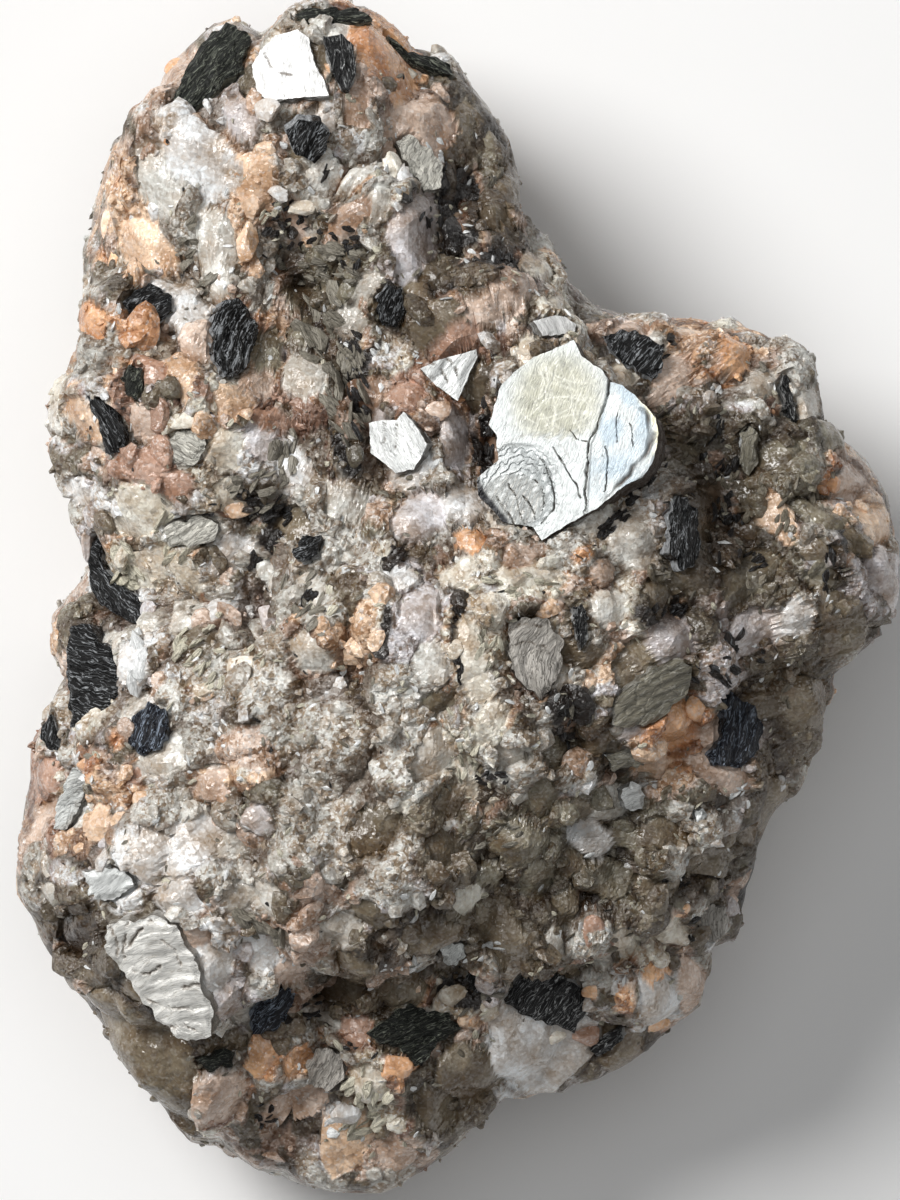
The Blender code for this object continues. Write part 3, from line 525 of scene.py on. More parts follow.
def spaced_turns(count, play, random):
    """Even turns round a circle, each moved on by up to a share (play) of the step between them."""
    return 2 * math.pi * (np.arange(count) + play * random.random(count)) / count


def crystal_tops(points):
    """Cover 0..1, roof height in mm, crystal number or -1, facet number and groove 0..1 at each point.

    Outline share = greatest (n . p) / r over the sides, roof = least (h - slope n . p) over the facets,
    groove = exp(-(mm past the outline / GROOVE_WIDTH)^2).
    """
    random = np.random.default_rng(61)
    groove_depths = np.random.default_rng(63).random(len(ALL_CRYSTALS))
    cover, top = np.zeros(len(points)), np.zeros(len(points))
    owner, facet, groove = np.full(len(points), -1), np.zeros(len(points), dtype=int), np.zeros(len(points))
    shown = ease((points[:, 2] - RIM_HEIGHT + 1.0) / 2.5)
    for number, (_, across, down, half_width, half_length, turn) in enumerate(ALL_CRYSTALS):
        side_angle = spaced_turns(CRYSTAL_SIDES, 0.6, random)
        side_reach = 0.85 + 0.35 * random.random(CRYSTAL_SIDES)
        slope_angle = spaced_turns(CRYSTAL_FACETS, 0.8, random)
        slope = 0.08 + 0.55 * random.random(CRYSTAL_FACETS)
        start = random.random(CRYSTAL_FACETS)
        if min(half_width, half_length) < SMALLEST_ROOF:
            continue
        u, v = turned_shares(points[:, 0], points[:, 1], across, down, half_width, half_length, turn)
        near = np.flatnonzero((np.abs(u) < 1.5) & (np.abs(v) < 1.5) & (shown > 0))
        u, v = u[near], v[near]
        sides = (u[:, None] * np.cos(side_angle) + v[:, None] * np.sin(side_angle)) / side_reach
        share = sides.max(axis=1) + 0.03 * np.sin(5.0 * u + number) + 0.03 * np.sin(6.0 * v + 2.0 * number)
        mean_half = math.sqrt(half_width * half_length)
        middle = near[u * u + v * v < 0.4]
        if len(middle) == 0:
            continue
        off_level = np.abs(points[near, 2] - np.median(points[middle, 2])) / mean_half
        seen = shown[near] * ease(2.0 - off_level)
        planes = 0.16 * mean_half * start - slope * (
            half_width * u[:, None] * np.cos(slope_angle) + half_length * v[:, None] * np.sin(slope_angle)
        )
        own_cover = ease((1.0 - share) / ROOF_SOFT) * seen
        own_groove = seen * bell((share - 1.05) * mean_half, GROOVE_WIDTH)
        groove[near] = np.maximum(groove[near], (0.4 + 0.6 * groove_depths[number]) * own_groove)
        better = own_cover > cover[near]
        index = near[better]
        cover[index] = own_cover[better]
        rise = (0.45 + 0.18 * mean_half) * (1.0 if number < len(CRYSTALS) else FILL_RISE)
        roof = rise + planes.min(axis=1) - ROOF_BEVEL * ease((share - 0.8) / 0.2)
        top[index] = roof[better]
        owner[index] = number
        facet[index] = planes.argmin(axis=1)[better]
    return cover, top, owner, facet, groove * (1.0 - cover)


# %% Grainy lump
COARSE_LEFT_ON_CRYSTALS = (1.0, 0.7, 0.15)
FINE_LEFT_ON_CRYSTALS = 0.12
FINE_SHARE_AT_RIM = 0.08
SKIN_SINK = 0.45


def coarse_lump(direction, points):
    """The smooth lump moved out along each direction by its large grain faces and the crystals' roofs."""
    fade = ease(np.abs(direction[:, 2]) / RELIEF_FADE)
    share = GRAIN_SHARE_AT_RIM + (1.0 - GRAIN_SHARE_AT_RIM) * fade
    cover, top, _, _, groove = crystal_tops(points)
    shift = (cover * top - GROOVE_DEPTH * groove) * (0.3 + 0.7 * fade) - SKIN_SINK
    for number, (size, height) in enumerate(GRAIN_SIZES):
        left = 1.0 - (1.0 - COARSE_LEFT_ON_CRYSTALS[number]) * cover
        shift += left * share * height * grain_cells(points, size, GRAIN_SEED + number)[0]
    return points + direction * shift[:, None]


def grainy_lump(direction, points, outward, cover):
    """The coarse lump moved out along its own outward direction by its fine grains, flat underneath."""
    fade = ease(np.abs(direction[:, 2]) / RELIEF_FADE)
    share = FINE_SHARE_AT_RIM + (1.0 - FINE_SHARE_AT_RIM) * fade
    share = share * (1.0 - (1.0 - FINE_LEFT_ON_CRYSTALS) * cover)
    shift = np.zeros(len(points))
    for number, (size, height) in enumerate(FINE_SIZES):
        shift += share * height * grain_cells(points, size, FINE_SEED + number, *FINE_TILT)[0]
    moved = points + outward * shift[:, None]
    moved[:, 2] = np.maximum(moved[:, 2], 0.0)
    return moved


# %% [markdown]
# A square grid bent onto a half ball gives the upper face even squares with no pole in its middle. Its turns
# are stretched by the lump's length over its width, and its rings are spaced evenly along the dome's
# profile, so that all squares come out alike. Rings that start from the grid's edge carry on round the
# sides and close under the foot.

# %% Direction grid over a whole ball
FACE_COLUMNS = 240
FACE_ROWS = 304
UNDER_RINGS = 23
LENGTH_OVER_WIDTH = 1.33
MEAN_RADIUS = 45.0
PROFILE_STEPS = 600
UPPER_COUNT = (FACE_COLUMNS + 1) * (FACE_ROWS + 1)


def ball_grid(columns, rows, rings):
    """u, v in -1..1 to a half ball: ring from the larger of |u|, |v|, turn = pi/4 (smaller / larger).

    The ring's polar angle is where the dome's profile has run that share of its length.
    """
    u, v = np.meshgrid(np.linspace(-1.0, 1.0, columns + 1), np.linspace(-1.0, 1.0, rows + 1), indexing="ij")
    wide = np.abs(u) >= np.abs(v)
    larger = np.where(wide, u, v)
    smaller = np.where(wide, v, u)
    ratio = np.divide(smaller, larger, out=np.zeros_like(u), where=larger != 0.0)
    angle = np.where(wide, math.pi / 4 * ratio, math.pi / 2 - math.pi / 4 * ratio)
    angle = np.where(larger < 0.0, angle + math.pi, angle)
    angle = np.arctan2(LENGTH_OVER_WIDTH * np.sin(angle), np.cos(angle))
    out = np.minimum(np.abs(larger), 1.0)
    steps = np.linspace(0.0, math.pi / 2, PROFILE_STEPS)
    profile = np.column_stack((
        MEAN_RADIUS * np.sin(steps) ** SIDE_FULLNESS,
        DOME_HEIGHT * np.maximum(np.cos(steps), 0.0) ** DOME_FULLNESS,
    ))
    run = np.concatenate(([0.0], np.cumsum(np.linalg.norm(np.diff(profile, axis=0), axis=1))))
    polar = np.interp(out * run[-1], run, steps)
    upper = np.stack((np.sin(polar) * np.cos(angle), np.sin(polar) * np.sin(angle), np.cos(polar)), -1)
    index = np.arange(UPPER_COUNT).reshape(columns + 1, rows + 1)
    quads = [np.stack((index[:-1, :-1], index[1:, :-1], index[1:, 1:], index[:-1, 1:]), -1).reshape(-1, 4)]
    edge = np.concatenate((index[-1, :-1], index[::-1, -1][:-1], index[0, ::-1][:-1], index[:-1, 0]))
    edge_angle = angle.ravel()[edge]
    depth = math.pi / 2 * (1.0 + np.arange(1, rings) / rings)[:, None]
    level = np.cos(depth) + 0 * edge_angle
    lower = np.stack((np.sin(depth) * np.cos(edge_angle), np.sin(depth) * np.sin(edge_angle), level), -1)
    ring_index = index.size + np.arange(lower.shape[0] * edge.size).reshape(lower.shape[0], edge.size)
    loops = np.vstack((edge, ring_index))
    ahead = np.roll(loops, -1, axis=1)
    quads.append(np.stack((loops[:-1], loops[1:], ahead[1:], ahead[:-1]), -1).reshape(-1, 4))
    pole = index.size + ring_index.size
    last = loops[-1]
    tris = np.column_stack((last, np.full(edge.size, pole), np.roll(last, -1)))
    directions = np.vstack((upper.reshape(-1, 3), lower.reshape(-1, 3), [(0.0, 0.0, -1.0)]))
    return directions, np.vstack(quads), tris


def even_out(direction, rounds, steps):
    """Move each inner direction of the upper grid to its four neighbours' mean, weighted by their distance.

    The distance is that on the coarse lump, so the squares gather on its steep places.
    """
    shape = (FACE_COLUMNS + 1, FACE_ROWS + 1, 3)
    for _ in range(rounds):
        upper = direction[:UPPER_COUNT]
        both = np.dstack((upper.reshape(shape), coarse_lump(upper, lump_form(upper)).reshape(shape)))
        for _ in range(steps):
            down = np.linalg.norm(np.diff(both[:, :, 3:], axis=0), axis=2)[:, :, None]
            over = np.linalg.norm(np.diff(both[:, :, 3:], axis=1), axis=2)[:, :, None]
            weights = [down[:-1, 1:-1], down[1:, 1:-1], over[1:-1, :-1], over[1:-1, 1:]]
            sides = [both[:-2, 1:-1], both[2:, 1:-1], both[1:-1, :-2], both[1:-1, 2:]]
            mean = sum(weight * side for weight, side in zip(weights, sides)) / sum(weights)
            both[1:-1, 1:-1] += 0.6 * (mean - both[1:-1, 1:-1])
        direction[:UPPER_COUNT] = unit(both[:, :, :3].reshape(-1, 3))
    return direction


def outward_of(direction, points):
    """Square to the surface on the upper grid, from differences along its two sides; else the direction."""
    grid = points[:UPPER_COUNT].reshape(FACE_COLUMNS + 1, FACE_ROWS + 1, 3)
    square = unit(np.cross(np.gradient(grid, axis=0), np.gradient(grid, axis=1)).reshape(-1, 3))
    square *= np.sign(np.einsum("ij,ij->i", square, direction[:UPPER_COUNT]))[:, None]
    share = ease(direction[:UPPER_COUNT, 2:] / 0.2)
    outward = direction.copy()
    outward[:UPPER_COUNT] = square * share + direction[:UPPER_COUNT] * (1.0 - share)
    return outward


directions, skin_quads, skin_tris = ball_grid(FACE_COLUMNS, FACE_ROWS, UNDER_RINGS)
directions = even_out(directions, 3, 6)
form_points = lump_form(directions)
coarse_points = coarse_lump(directions, form_points)
skin_cover, _, _, _, skin_groove = crystal_tops(form_points)
skin_points = grainy_lump(directions, coarse_points, outward_of(directions, coarse_points), skin_cover)
print("skin points", len(skin_points), "quads", len(skin_quads))

# %% [markdown]
# Every mesh here comes from arrays: corners in one array, faces in others of three or four columns.
# Colours and masks go along as named attributes on the corners, which the materials read.

# %% Mesh from arrays
BOX_MARGIN = 0.9


def hold_in_box(points):
    """Within BOX_MARGIN of a side, the way past margin m is squeezed to m tanh(way / m), inside the box."""
    room = BOX_MARGIN - 0.01
    over = np.maximum(points - (BOX_HIGH - BOX_MARGIN), 0.0)
    held = points - over + room * np.tanh(over / room)
    under = np.maximum((BOX_LOW + BOX_MARGIN) - held, 0.0)
    return held + under - room * np.tanh(under / room)


LAYER_KINDS = {1: ("FLOAT", "value"), 3: ("FLOAT_VECTOR", "vector"), 4: ("FLOAT_COLOR", "color")}


def link_object(name, data):
    """An object for its data, in the scene."""
    made = bpy.data.objects.new(name, data)
    bpy.context.scene.collection.objects.link(made)
    return made


def make_piece(name, points, faces, material, slot, **layers):
    """One closed mesh in mm from corner and face arrays, held inside the frame's box, riding on the root.

    Each layer is one value for all corners, or a column, three columns or a colour for each.
    """
    mesh = bpy.data.meshes.new(name)
    inside = hold_in_box(points) * MM
    mesh.vertices.add(len(inside))
    mesh.vertices.foreach_set("co", inside.astype(np.float32).ravel())
    corners = np.concatenate([block.ravel() for block in faces])
    totals = np.concatenate([np.full(len(block), block.shape[1]) for block in faces])
    starts = np.concatenate(([0], np.cumsum(totals)[:-1]))
    mesh.loops.add(len(corners))
    mesh.loops.foreach_set("vertex_index", corners.astype(np.int32))
    mesh.polygons.add(len(totals))
    mesh.polygons.foreach_set("loop_start", starts.astype(np.int32))
    mesh.polygons.foreach_set("use_smooth", np.zeros(len(totals), dtype=bool))
    mesh.update(calc_edges=True)
    for key, values in layers.items():
        columns = [np.broadcast_to(column, len(inside)) for column in np.atleast_2d(np.transpose(values))]
        if key.endswith("colour"):
            columns.append(np.ones(len(inside)))
        kind, field = LAYER_KINDS[len(columns)]
        layer = mesh.attributes.new(key, kind, "POINT")
        layer.data.foreach_set(field, np.column_stack(columns).astype(np.float32).ravel())
    mesh.materials.append(material)
    piece = link_object(name, mesh)
    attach(piece, "root")
    count = int(np.sum(totals - 2))
    print(name, count, "triangles")
    return piece


# %% [markdown]
# The books' places come from the frame itself. A book's solid is a slab: the widest flat side under it has
# exactly its outline. That outline, the slab's upward direction and its thickness are all that is needed.

# %% Book places from the frame
def read_book(node):
    """Outline loop, middle, upward axis, side axes and thickness in mm of one slab of the frame."""
    mesh = node.data
    count = len(mesh.vertices)
    points = np.empty(count * 3, dtype=np.float32)
    mesh.vertices.foreach_get("co", points)
    points = np.round(points.reshape(-1, 3).astype(float) / MM, 3)
    merged, remap = np.unique(points, axis=0, return_inverse=True)
    mesh.calc_loop_triangles()
    tris = np.empty(len(mesh.loop_triangles) * 3, dtype=np.int32)
    mesh.loop_triangles.foreach_get("vertices", tris)
    tris = remap.ravel()[tris.reshape(-1, 3)]
    edge_one = merged[tris[:, 1]] - merged[tris[:, 0]]
    edge_two = merged[tris[:, 2]] - merged[tris[:, 0]]
    normal = np.cross(edge_one, edge_two)
    area = np.linalg.norm(normal, axis=1)
    normal = normal / np.maximum(area, 1e-9)[:, None]
    alike = (normal @ normal.T > 0.999) * area
    down = normal[np.argmax(alike.sum(axis=1) * (normal[:, 2] < -0.5))]
    floor = tris[normal @ down > 0.999]
    sides = np.vstack((floor[:, (0, 1)], floor[:, (1, 2)], floor[:, (2, 0)]))
    unpaired = {(a, b) for a, b in map(tuple, sides.tolist())}
    follow = {a: b for a, b in unpaired if (b, a) not in unpaired}
    loops = []
    while follow:
        loop = [next(iter(follow))]
        while loop[-1] in follow:
            loop.append(follow.pop(loop[-1]))
        loops.append(loop[:-1])
    up = -down
    corners = max((merged[loop] for loop in loops), key=lambda ring: np.ptp(ring, axis=0).sum())
    side = unit(np.cross((0.0, 1.0, 0.0), up))
    other = np.cross(up, side)
    thickness = float(np.max((merged - corners[0]) @ up))
    base = corners.mean(axis=0)
    flat = np.column_stack(((corners - base) @ side, (corners - base) @ other))
    turning = np.sum(flat[:, 0] * np.roll(flat[:, 1], -1) - flat[:, 1] * np.roll(flat[:, 0], -1))
    if turning < 0.0:
        flat = flat[::-1]
    return {"flat": flat, "base": base, "up": up, "side": side, "other": other, "thickness": thickness}


books = {
    name: read_book(node) for name, node in sorted(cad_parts.items()) if name != "granite_matrix"
}
print(len(books), "books read from the frame")


def signed_distance(flat, x, y):
    """Distance to a closed outline, negative outside: least distance to its sides, signed by crossings."""
    nearest = np.full(np.shape(x), np.inf)
    inside = np.zeros(np.shape(x), dtype=bool)
    for start, end in zip(flat, np.roll(flat, -1, axis=0)):
        run = end - start
        nearest = np.minimum(nearest, distance_to_stretch(x, y, start, run))
        spans = (start[1] > y) != (end[1] > y)
        slope = run[0] / run[1] if abs(run[1]) > 1e-9 else 0.0
        inside ^= spans & (x < start[0] + (y - start[1]) * slope)
    return np.where(inside, nearest, -nearest)


# %% [markdown]
# Where a book sits, the rock has to stay out of its way. Points of the rock that lie over a book's outline
# are pressed down to well under its top sheet, with a narrow lip round it.

# %% Press the rock down under the books
POCKET_DEPTH = 1.3
POCKET_LIP = 0.35


def book_places(book, points):
    """Places along a book's two side axes and up through its sheets, in mm from its foot's middle."""
    away = points - book["base"]
    return away @ book["side"], away @ book["other"], away @ book["up"]


def press_under_books(points):
    """Each point inside a book's outline moves along the book's axis to at most top minus POCKET_DEPTH."""
    for book in books.values():
        reach = np.abs(book["flat"]).max() + 1.0
        x, y, z = book_places(book, points)
        near = (np.abs(x) < reach) & (np.abs(y) < reach) & (z > -1.0) & (z < book["thickness"] + 9.0)
        index = np.flatnonzero(near)
        if len(index) == 0:
            continue
        inward = signed_distance(book["flat"], x[index], y[index])
        share = ease((inward + POCKET_LIP) / POCKET_LIP)
        over = np.maximum(z[index] - (book["thickness"] - POCKET_DEPTH), 0.0)
        points[index] -= (over * share)[:, None] * book["up"]
    return points


def inside_books(points, margin):
    """True where a point lies over a book's outline grown by a margin, near its top."""
    hit = np.zeros(len(points), dtype=bool)
    for book in books.values():
        x, y, z = book_places(book, points)
        reach = np.abs(book["flat"]).max() + margin + 0.5
        index = np.flatnonzero((np.abs(x) < reach) & (np.abs(y) < reach) & (z > -1.5) & (z < 12.0))
        if len(index):
            hit[index] |= signed_distance(book["flat"], x[index], y[index]) > -margin
    return hit


skin_points = press_under_books(skin_points)

# %% [markdown]
# Materials are made of nodes. Small helpers keep that short: they make a node, fill its inputs and give its
# output. A socket knows the tree that it belongs to, so sums of sockets need no tree named.

# %% Node helpers
def add_node(tree, kind, inputs=None, **settings):
    """A node with its settings, and its input values or links given by socket name or number."""
    node = tree.nodes.new(kind)
    for key, value in settings.items():
        setattr(node, key, value)
    for key, value in (inputs or {}).items():
        socket = node.inputs[key]
        if isinstance(value, bpy.types.NodeSocket):
            tree.links.new(value, socket)
        else:
            socket.default_value = value
    return node


def join_node(kind, inputs, output=0, **settings):
    """The output of a node made in the tree that the first socket among its inputs belongs to."""
    tree = next(value.id_data for value in inputs.values() if isinstance(value, bpy.types.NodeSocket))
    return add_node(tree, kind, inputs, **settings).outputs[output]


def maths(operation, first, second=0.0):
    """One sum of two values."""
    return join_node("ShaderNodeMath", {0: first, 1: second}, operation=operation)


def times(first, second):
    """The first value times the second."""
    return maths("MULTIPLY", first, second)


def plus(first, second):
    """The first value plus the second."""
    return maths("ADD", first, second)


def minus(first, second):
    """The first value less the second."""
    return maths("SUBTRACT", first, second)


def larger(first, second):
    """The larger of two values."""
    return maths("MAXIMUM", first, second)


def vector_maths(operation, *values, output=0):
    """One sum of two or three vectors; the dot product comes out at output 1."""
    return join_node("ShaderNodeVectorMath", dict(enumerate(values)), output, operation=operation)


def spread(value, low, high, new_low=0.0, new_high=1.0):
    """Value from low..high to new_low..new_high, held at both ends."""
    ends = {"Value": value, "From Min": low, "From Max": high, "To Min": new_low, "To Max": new_high}
    return join_node("ShaderNodeMapRange", ends)


def blend_colours(factor, first, second, blend="MIX"):
    """Colours mixed by a factor; sockets 6 and 7 of a Mix node are its two colours, output 2 their mix."""
    return join_node("ShaderNodeMix", {0: factor, 6: first, 7: second}, 2, data_type="RGBA", blend_type=blend)


def grey(value):
    """A colour with one value three times."""
    return join_node("ShaderNodeCombineColor", {0: value, 1: value, 2: value})


def noise(place, scale, detail, roughness=0.6):
    """Cloudy values, mostly 0.3 to 0.7, that change over a length of about 1 / scale."""
    return join_node(
        "ShaderNodeTexNoise", {"Vector": place, "Scale": scale, "Detail": detail, "Roughness": roughness}
    )


def open_group(name, inputs, outputs):
    """A new node group with its input sockets (name, kind, value) and output sockets (name, kind)."""
    tree = bpy.data.node_groups.new(name, "ShaderNodeTree")
    for label, kind, value in inputs:
        socket = tree.interface.new_socket(label, in_out="INPUT", socket_type="NodeSocket" + kind)
        if value is not None:
            socket.default_value = value
    for label, kind in outputs:
        tree.interface.new_socket(label, in_out="OUTPUT", socket_type="NodeSocket" + kind)
    start = tree.nodes.new("NodeGroupInput")
    end = tree.nodes.new("NodeGroupOutput")
    return tree, start.outputs, end.inputs


# %% [markdown]
# Rock reads as rock through what happens inside a grain: it is a mass of smaller broken crystals, each with
# its own tone and its own tilt, so some flash and some stay dark. A Voronoi texture gives such cells. The
# way from a cell's middle, times a random direction of the cell, is a height that slopes evenly over it,
# which tilts the cell as one flat facet. Two sizes of facets, a cloudy tone, brown pits, painted shade in
# low places and painted glints are made once in a node group, so skin, grains and crystals share them,
# each at its own scale.

# %% Shared node group for rock detail
# Brown of the random pits, and of the painted shade in low places.
PIT_AND_SHADE_BROWN = (0.21, 0.145, 0.10, 1.0)
# White of the painted glints and of the pale veils.
GLINT_AND_VEIL_WHITE = (0.95, 0.94, 0.92, 1.0)
WARM_DEPTH = (0.62, 0.47, 0.34, 1.0)
COOL_CREST = (1.36, 1.41, 1.46, 1.0)


def facet_cells(place, scale):
    """Tone 0..1, gloss 0..1 and sloping height of Voronoi cells.

    Height = (place - cell middle) scale . (cell colour - 0.5).
    """
    cells = add_node(place.id_data, "ShaderNodeTexVoronoi", {"Vector": place, "Scale": scale})
    away = vector_maths("SUBTRACT", place, cells.outputs["Position"])
    lean = vector_maths("SUBTRACT", cells.outputs["Color"], (0.5, 0.5, 0.5))
    slope = vector_maths("DOT_PRODUCT", away, lean, output=1)
    colour = {0: cells.outputs["Color"]}
    tone, gloss = (join_node("ShaderNodeSeparateColor", colour, number) for number in (0, 1))
    return tone, gloss, times(slope, scale)


def sugar_group():
    """Colour times facet tones and cloud, browned in pits and with painted shade in low places, with painted
    glints and pale veils.
    """
    tree, inputs, outputs = open_group(
        "sugary grain",
        [("Colour", "Color", None), ("Facets per metre", "Float", 1300.0), ("Tone spread", "Float", 0.3),
         ("Speck", "Float", 0.5), ("Shade and dirt", "Float", 0.0), ("Pits", "Float", 0.5),
         ("Clear", "Float", 0.0)],
        [("Colour", "Color"), ("Roughness", "Float"), ("Height", "Float")],
    )
    place = add_node(tree, "ShaderNodeTexCoord").outputs["Object"]
    sway = noise(place, 900.0, 1.0, 0.5)
    swayed = vector_maths("MULTIPLY_ADD", sway, (0.0006, -0.0006, 0.0006), place)
    tone, gloss, slope = facet_cells(swayed, inputs["Facets per metre"])
    small_scale = times(inputs["Facets per metre"], 2.6)
    small_tone, small_gloss, small_slope = facet_cells(swayed, small_scale)
    cloud = noise(place, 1900.0, 3.0, 0.68)
    rough = minus(1.0, times(inputs["Clear"], 0.7))
    tone_spread = times(inputs["Tone spread"], rough)
    tone_low = minus(1.0, tone_spread)
    tone_high = plus(1.0, tone_spread)
    shade = spread(tone, 0.0, 1.0, tone_low, tone_high)
    small_shade = spread(small_tone, 0.0, 1.0, tone_low, tone_high)
    zone = noise(place, 280.0, 1.0, 0.5)
    drift = plus(times(minus(cloud, 0.5), rough), 0.5)
    clouded = spread(drift, 0.3, 0.7, 0.66, 1.32)
    zoned = spread(zone, 0.3, 0.7, 0.74, 1.24)
    shade = times(times(shade, small_shade), times(clouded, zoned))
    warmth = blend_colours(spread(shade, 0.62, 1.32), WARM_DEPTH, COOL_CREST)
    toned = blend_colours(1.0, inputs["Colour"], warmth, "MULTIPLY")
    pit_and_shade_tone = blend_colours(1.0, toned, PIT_AND_SHADE_BROWN, "MULTIPLY")
    pits = times(spread(noise(place, 1100.0, 1.0, 0.6), 0.38, 0.28), inputs["Pits"])
    pits = times(pits, rough)
    # Painted shade: the colour is multiplied towards brown in low places, as it is in the pits.
    low = blend_colours(larger(pits, inputs["Shade and dirt"]), toned, pit_and_shade_tone)
    # Painted glints: pale spots where a fine noise peaks and on some small facets, fewer on dark colours, in
    # painted shade and on clear faces; pale veils on clear faces join them.
    sparkle = noise(place, 2900.0, 0.0, 0.5)
    bright = times(spread(small_gloss, 0.88, 0.92), 0.55)
    lightness = join_node("ShaderNodeRGBToBW", {"Color": inputs["Colour"]})
    speck = times(inputs["Speck"], spread(lightness, 0.05, 0.5, 0.1, 1.0))
    speck = times(speck, minus(1.0, inputs["Shade and dirt"]))
    speck = times(speck, spread(inputs["Clear"], 0.0, 1.0, 1.0, 0.5))
    veil = spread(maths("ABSOLUTE", minus(zone, 0.5)), 0.0, 0.02, 0.5, 0.0)
    bright = larger(bright, times(veil, inputs["Clear"]))
    shine = times(larger(spread(sparkle, 0.665, 0.70), bright), speck)
    tree.links.new(blend_colours(shine, low, GLINT_AND_VEIL_WHITE), outputs["Colour"])
    dull = spread(inputs["Clear"], 0.0, 1.0, 0.5, 0.32)
    tree.links.new(spread(gloss, 0.0, 1.0, 0.1, dull), outputs["Roughness"])
    facets = plus(times(slope, 2.4), times(small_slope, 0.9))
    facets = times(facets, spread(inputs["Clear"], 0.0, 1.0, 1.0, 0.45))
    clouds = times(times(cloud, 1.1), rough)
    tree.links.new(plus(facets, clouds), outputs["Height"])
    return tree


SUGAR = sugar_group()
print("node group", SUGAR.name)

# %% [markdown]
# The rock's materials read the colour that each grain carries and send it through the shared detail. The
# skin is crumb and gets finer, rougher detail; grains and crystals are glassy.

# %% Rock materials
def detailed_material(name, group, readings, values, bump, step, shine):
    """A surface fed by one detail group.

    Readings are the attributes that feed the group, as (attribute, output, socket); values are its other
    inputs, bump and step its strength and height in metres, and shine the surface's own values.
    """
    material = bpy.data.materials.new(name)
    material.use_nodes = True
    tree = material.node_tree
    shader = tree.nodes["Principled BSDF"]
    detail = add_node(tree, "ShaderNodeGroup", values, node_tree=group)
    for attribute, output, socket in readings:
        reading = add_node(tree, "ShaderNodeAttribute", attribute_name=attribute)
        tree.links.new(reading.outputs[output], detail.inputs[socket])
    bump_inputs = {"Height": detail.outputs["Height"], "Strength": bump, "Distance": step}
    raised = add_node(tree, "ShaderNodeBump", bump_inputs)
    tree.links.new(detail.outputs["Colour"], shader.inputs["Base Color"])
    tree.links.new(detail.outputs["Roughness"], shader.inputs["Roughness"])
    tree.links.new(raised.outputs["Normal"], shader.inputs["Normal"])
    for socket, value in shine.items():
        shader.inputs[socket].default_value = value
    return material


ROCK_STEP = 0.0003
ROCK_READINGS = [("grain_colour", "Color", "Colour"), ("low_place", "Fac", "Shade and dirt"),
                 ("clear_face", "Fac", "Clear")]


def rock_material(name, facets_per_metre, tone_spread, speck, pits, bump, level):
    """Rock with its own facets, tone spread, painted glints and pits."""
    values = {"Facets per metre": facets_per_metre, "Tone spread": tone_spread, "Speck": speck, "Pits": pits}
    return detailed_material(
        name, SUGAR, ROCK_READINGS, values, bump, ROCK_STEP, {"Specular IOR Level": level}
    )


SKIN_ROCK = rock_material("granular rock", 1150.0, 0.3, 0.6, 0.6, 0.9, 0.8)
GRAIN_ROCK = rock_material("glassy grains", 1150.0, 0.18, 0.6, 0.4, 0.8, 0.9)
CRYSTAL_ROCK = rock_material("sugary crystals", 800.0, 0.14, 0.5, 0.3, 0.6, 0.9)

# %% [markdown]
# The skin is the rock's own broken surface. Its colours come from the grain cells that shaped it, and it
# gets painted shade in its creases, in its low places and in the hollows.

# %% Skin of the lump
skin_fine = grain_cells(coarse_points, FINE_SIZES[1][0], FINE_SEED + 1, *FINE_TILT)[0]
skin_child = grain_cells(coarse_points, FINE_SIZES[0][0], FINE_SEED, *FINE_TILT)[0]
skin_middle = grain_cells(form_points, GRAIN_SIZES[2][0], GRAIN_SEED + 2)[0]
skin_open = 1.0 - skin_cover
# Painted shade: creases between the grain cells, the grooves round the crystals' roofs, fine low places and
# the hollows are darkened.
skin_crease = np.maximum(ease(0.15 - 2.0 * skin_middle), 0.8 * ease(-0.1 - 2.2 * skin_child))
skin_crease = np.maximum(skin_groove, skin_open * skin_crease)
skin_shade = np.maximum(0.4 * ease(0.1 - 1.2 * skin_fine) * skin_open, 0.85 * skin_crease)
skin_shade = np.maximum(skin_shade, hollow_shade(coarse_points))
_, skin_colours = cell_minerals(coarse_points, form_points)
skin = make_piece(
    "granite_skin", skin_points, [skin_quads, skin_tris], SKIN_ROCK, "granite",
    low_place=skin_shade, clear_face=skin_cover, grain_colour=skin_colours,
)
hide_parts("granite_matrix")

# %% [markdown]
# A grain is a small broken crystal: flat faces that meet in edges. It is the space inside about ten planes.
# Along each direction d from its middle the nearest plane is at h / (d . n), so a fixed net of directions
# and random planes give a different crystal every time, all worked out together as one array.

# %% Crystals cut by planes
def crystal_net(columns, latitudes):
    """Directions on a ball in rings with a pole at each end, and the faces between them."""
    turn = 2 * math.pi * np.arange(columns) / columns
    rings = []
    for number, latitude in enumerate(np.radians(latitudes)):
        angle = turn + number * math.pi / columns
        level = np.full(columns, math.sin(latitude))
        wide = math.cos(latitude)
        rings.append(np.column_stack((wide * np.cos(angle), wide * np.sin(angle), level)))
    net = np.vstack([[(0.0, 0.0, 1.0)]] + rings + [[(0.0, 0.0, -1.0)]])
    here = np.arange(columns)
    ahead = (here + 1) % columns
    bands = [np.column_stack((np.zeros(columns, dtype=int), 1 + here, 1 + ahead))]
    for number in range(len(latitudes) - 1):
        upper, lower = 1 + number * columns, 1 + (number + 1) * columns
        bands.append(np.column_stack((upper + here, lower + here, upper + ahead)))
        bands.append(np.column_stack((upper + ahead, lower + here, lower + ahead)))
    last = 1 + (len(latitudes) - 1) * columns
    bands.append(np.column_stack((last + here, np.full(columns, len(net) - 1), last + ahead)))
    return net, np.vstack(bands)


LEAST_FACING = 0.12
WIDEST_REACH = 1.2
PLANES = 10
NEAREST_PLANE = 0.62


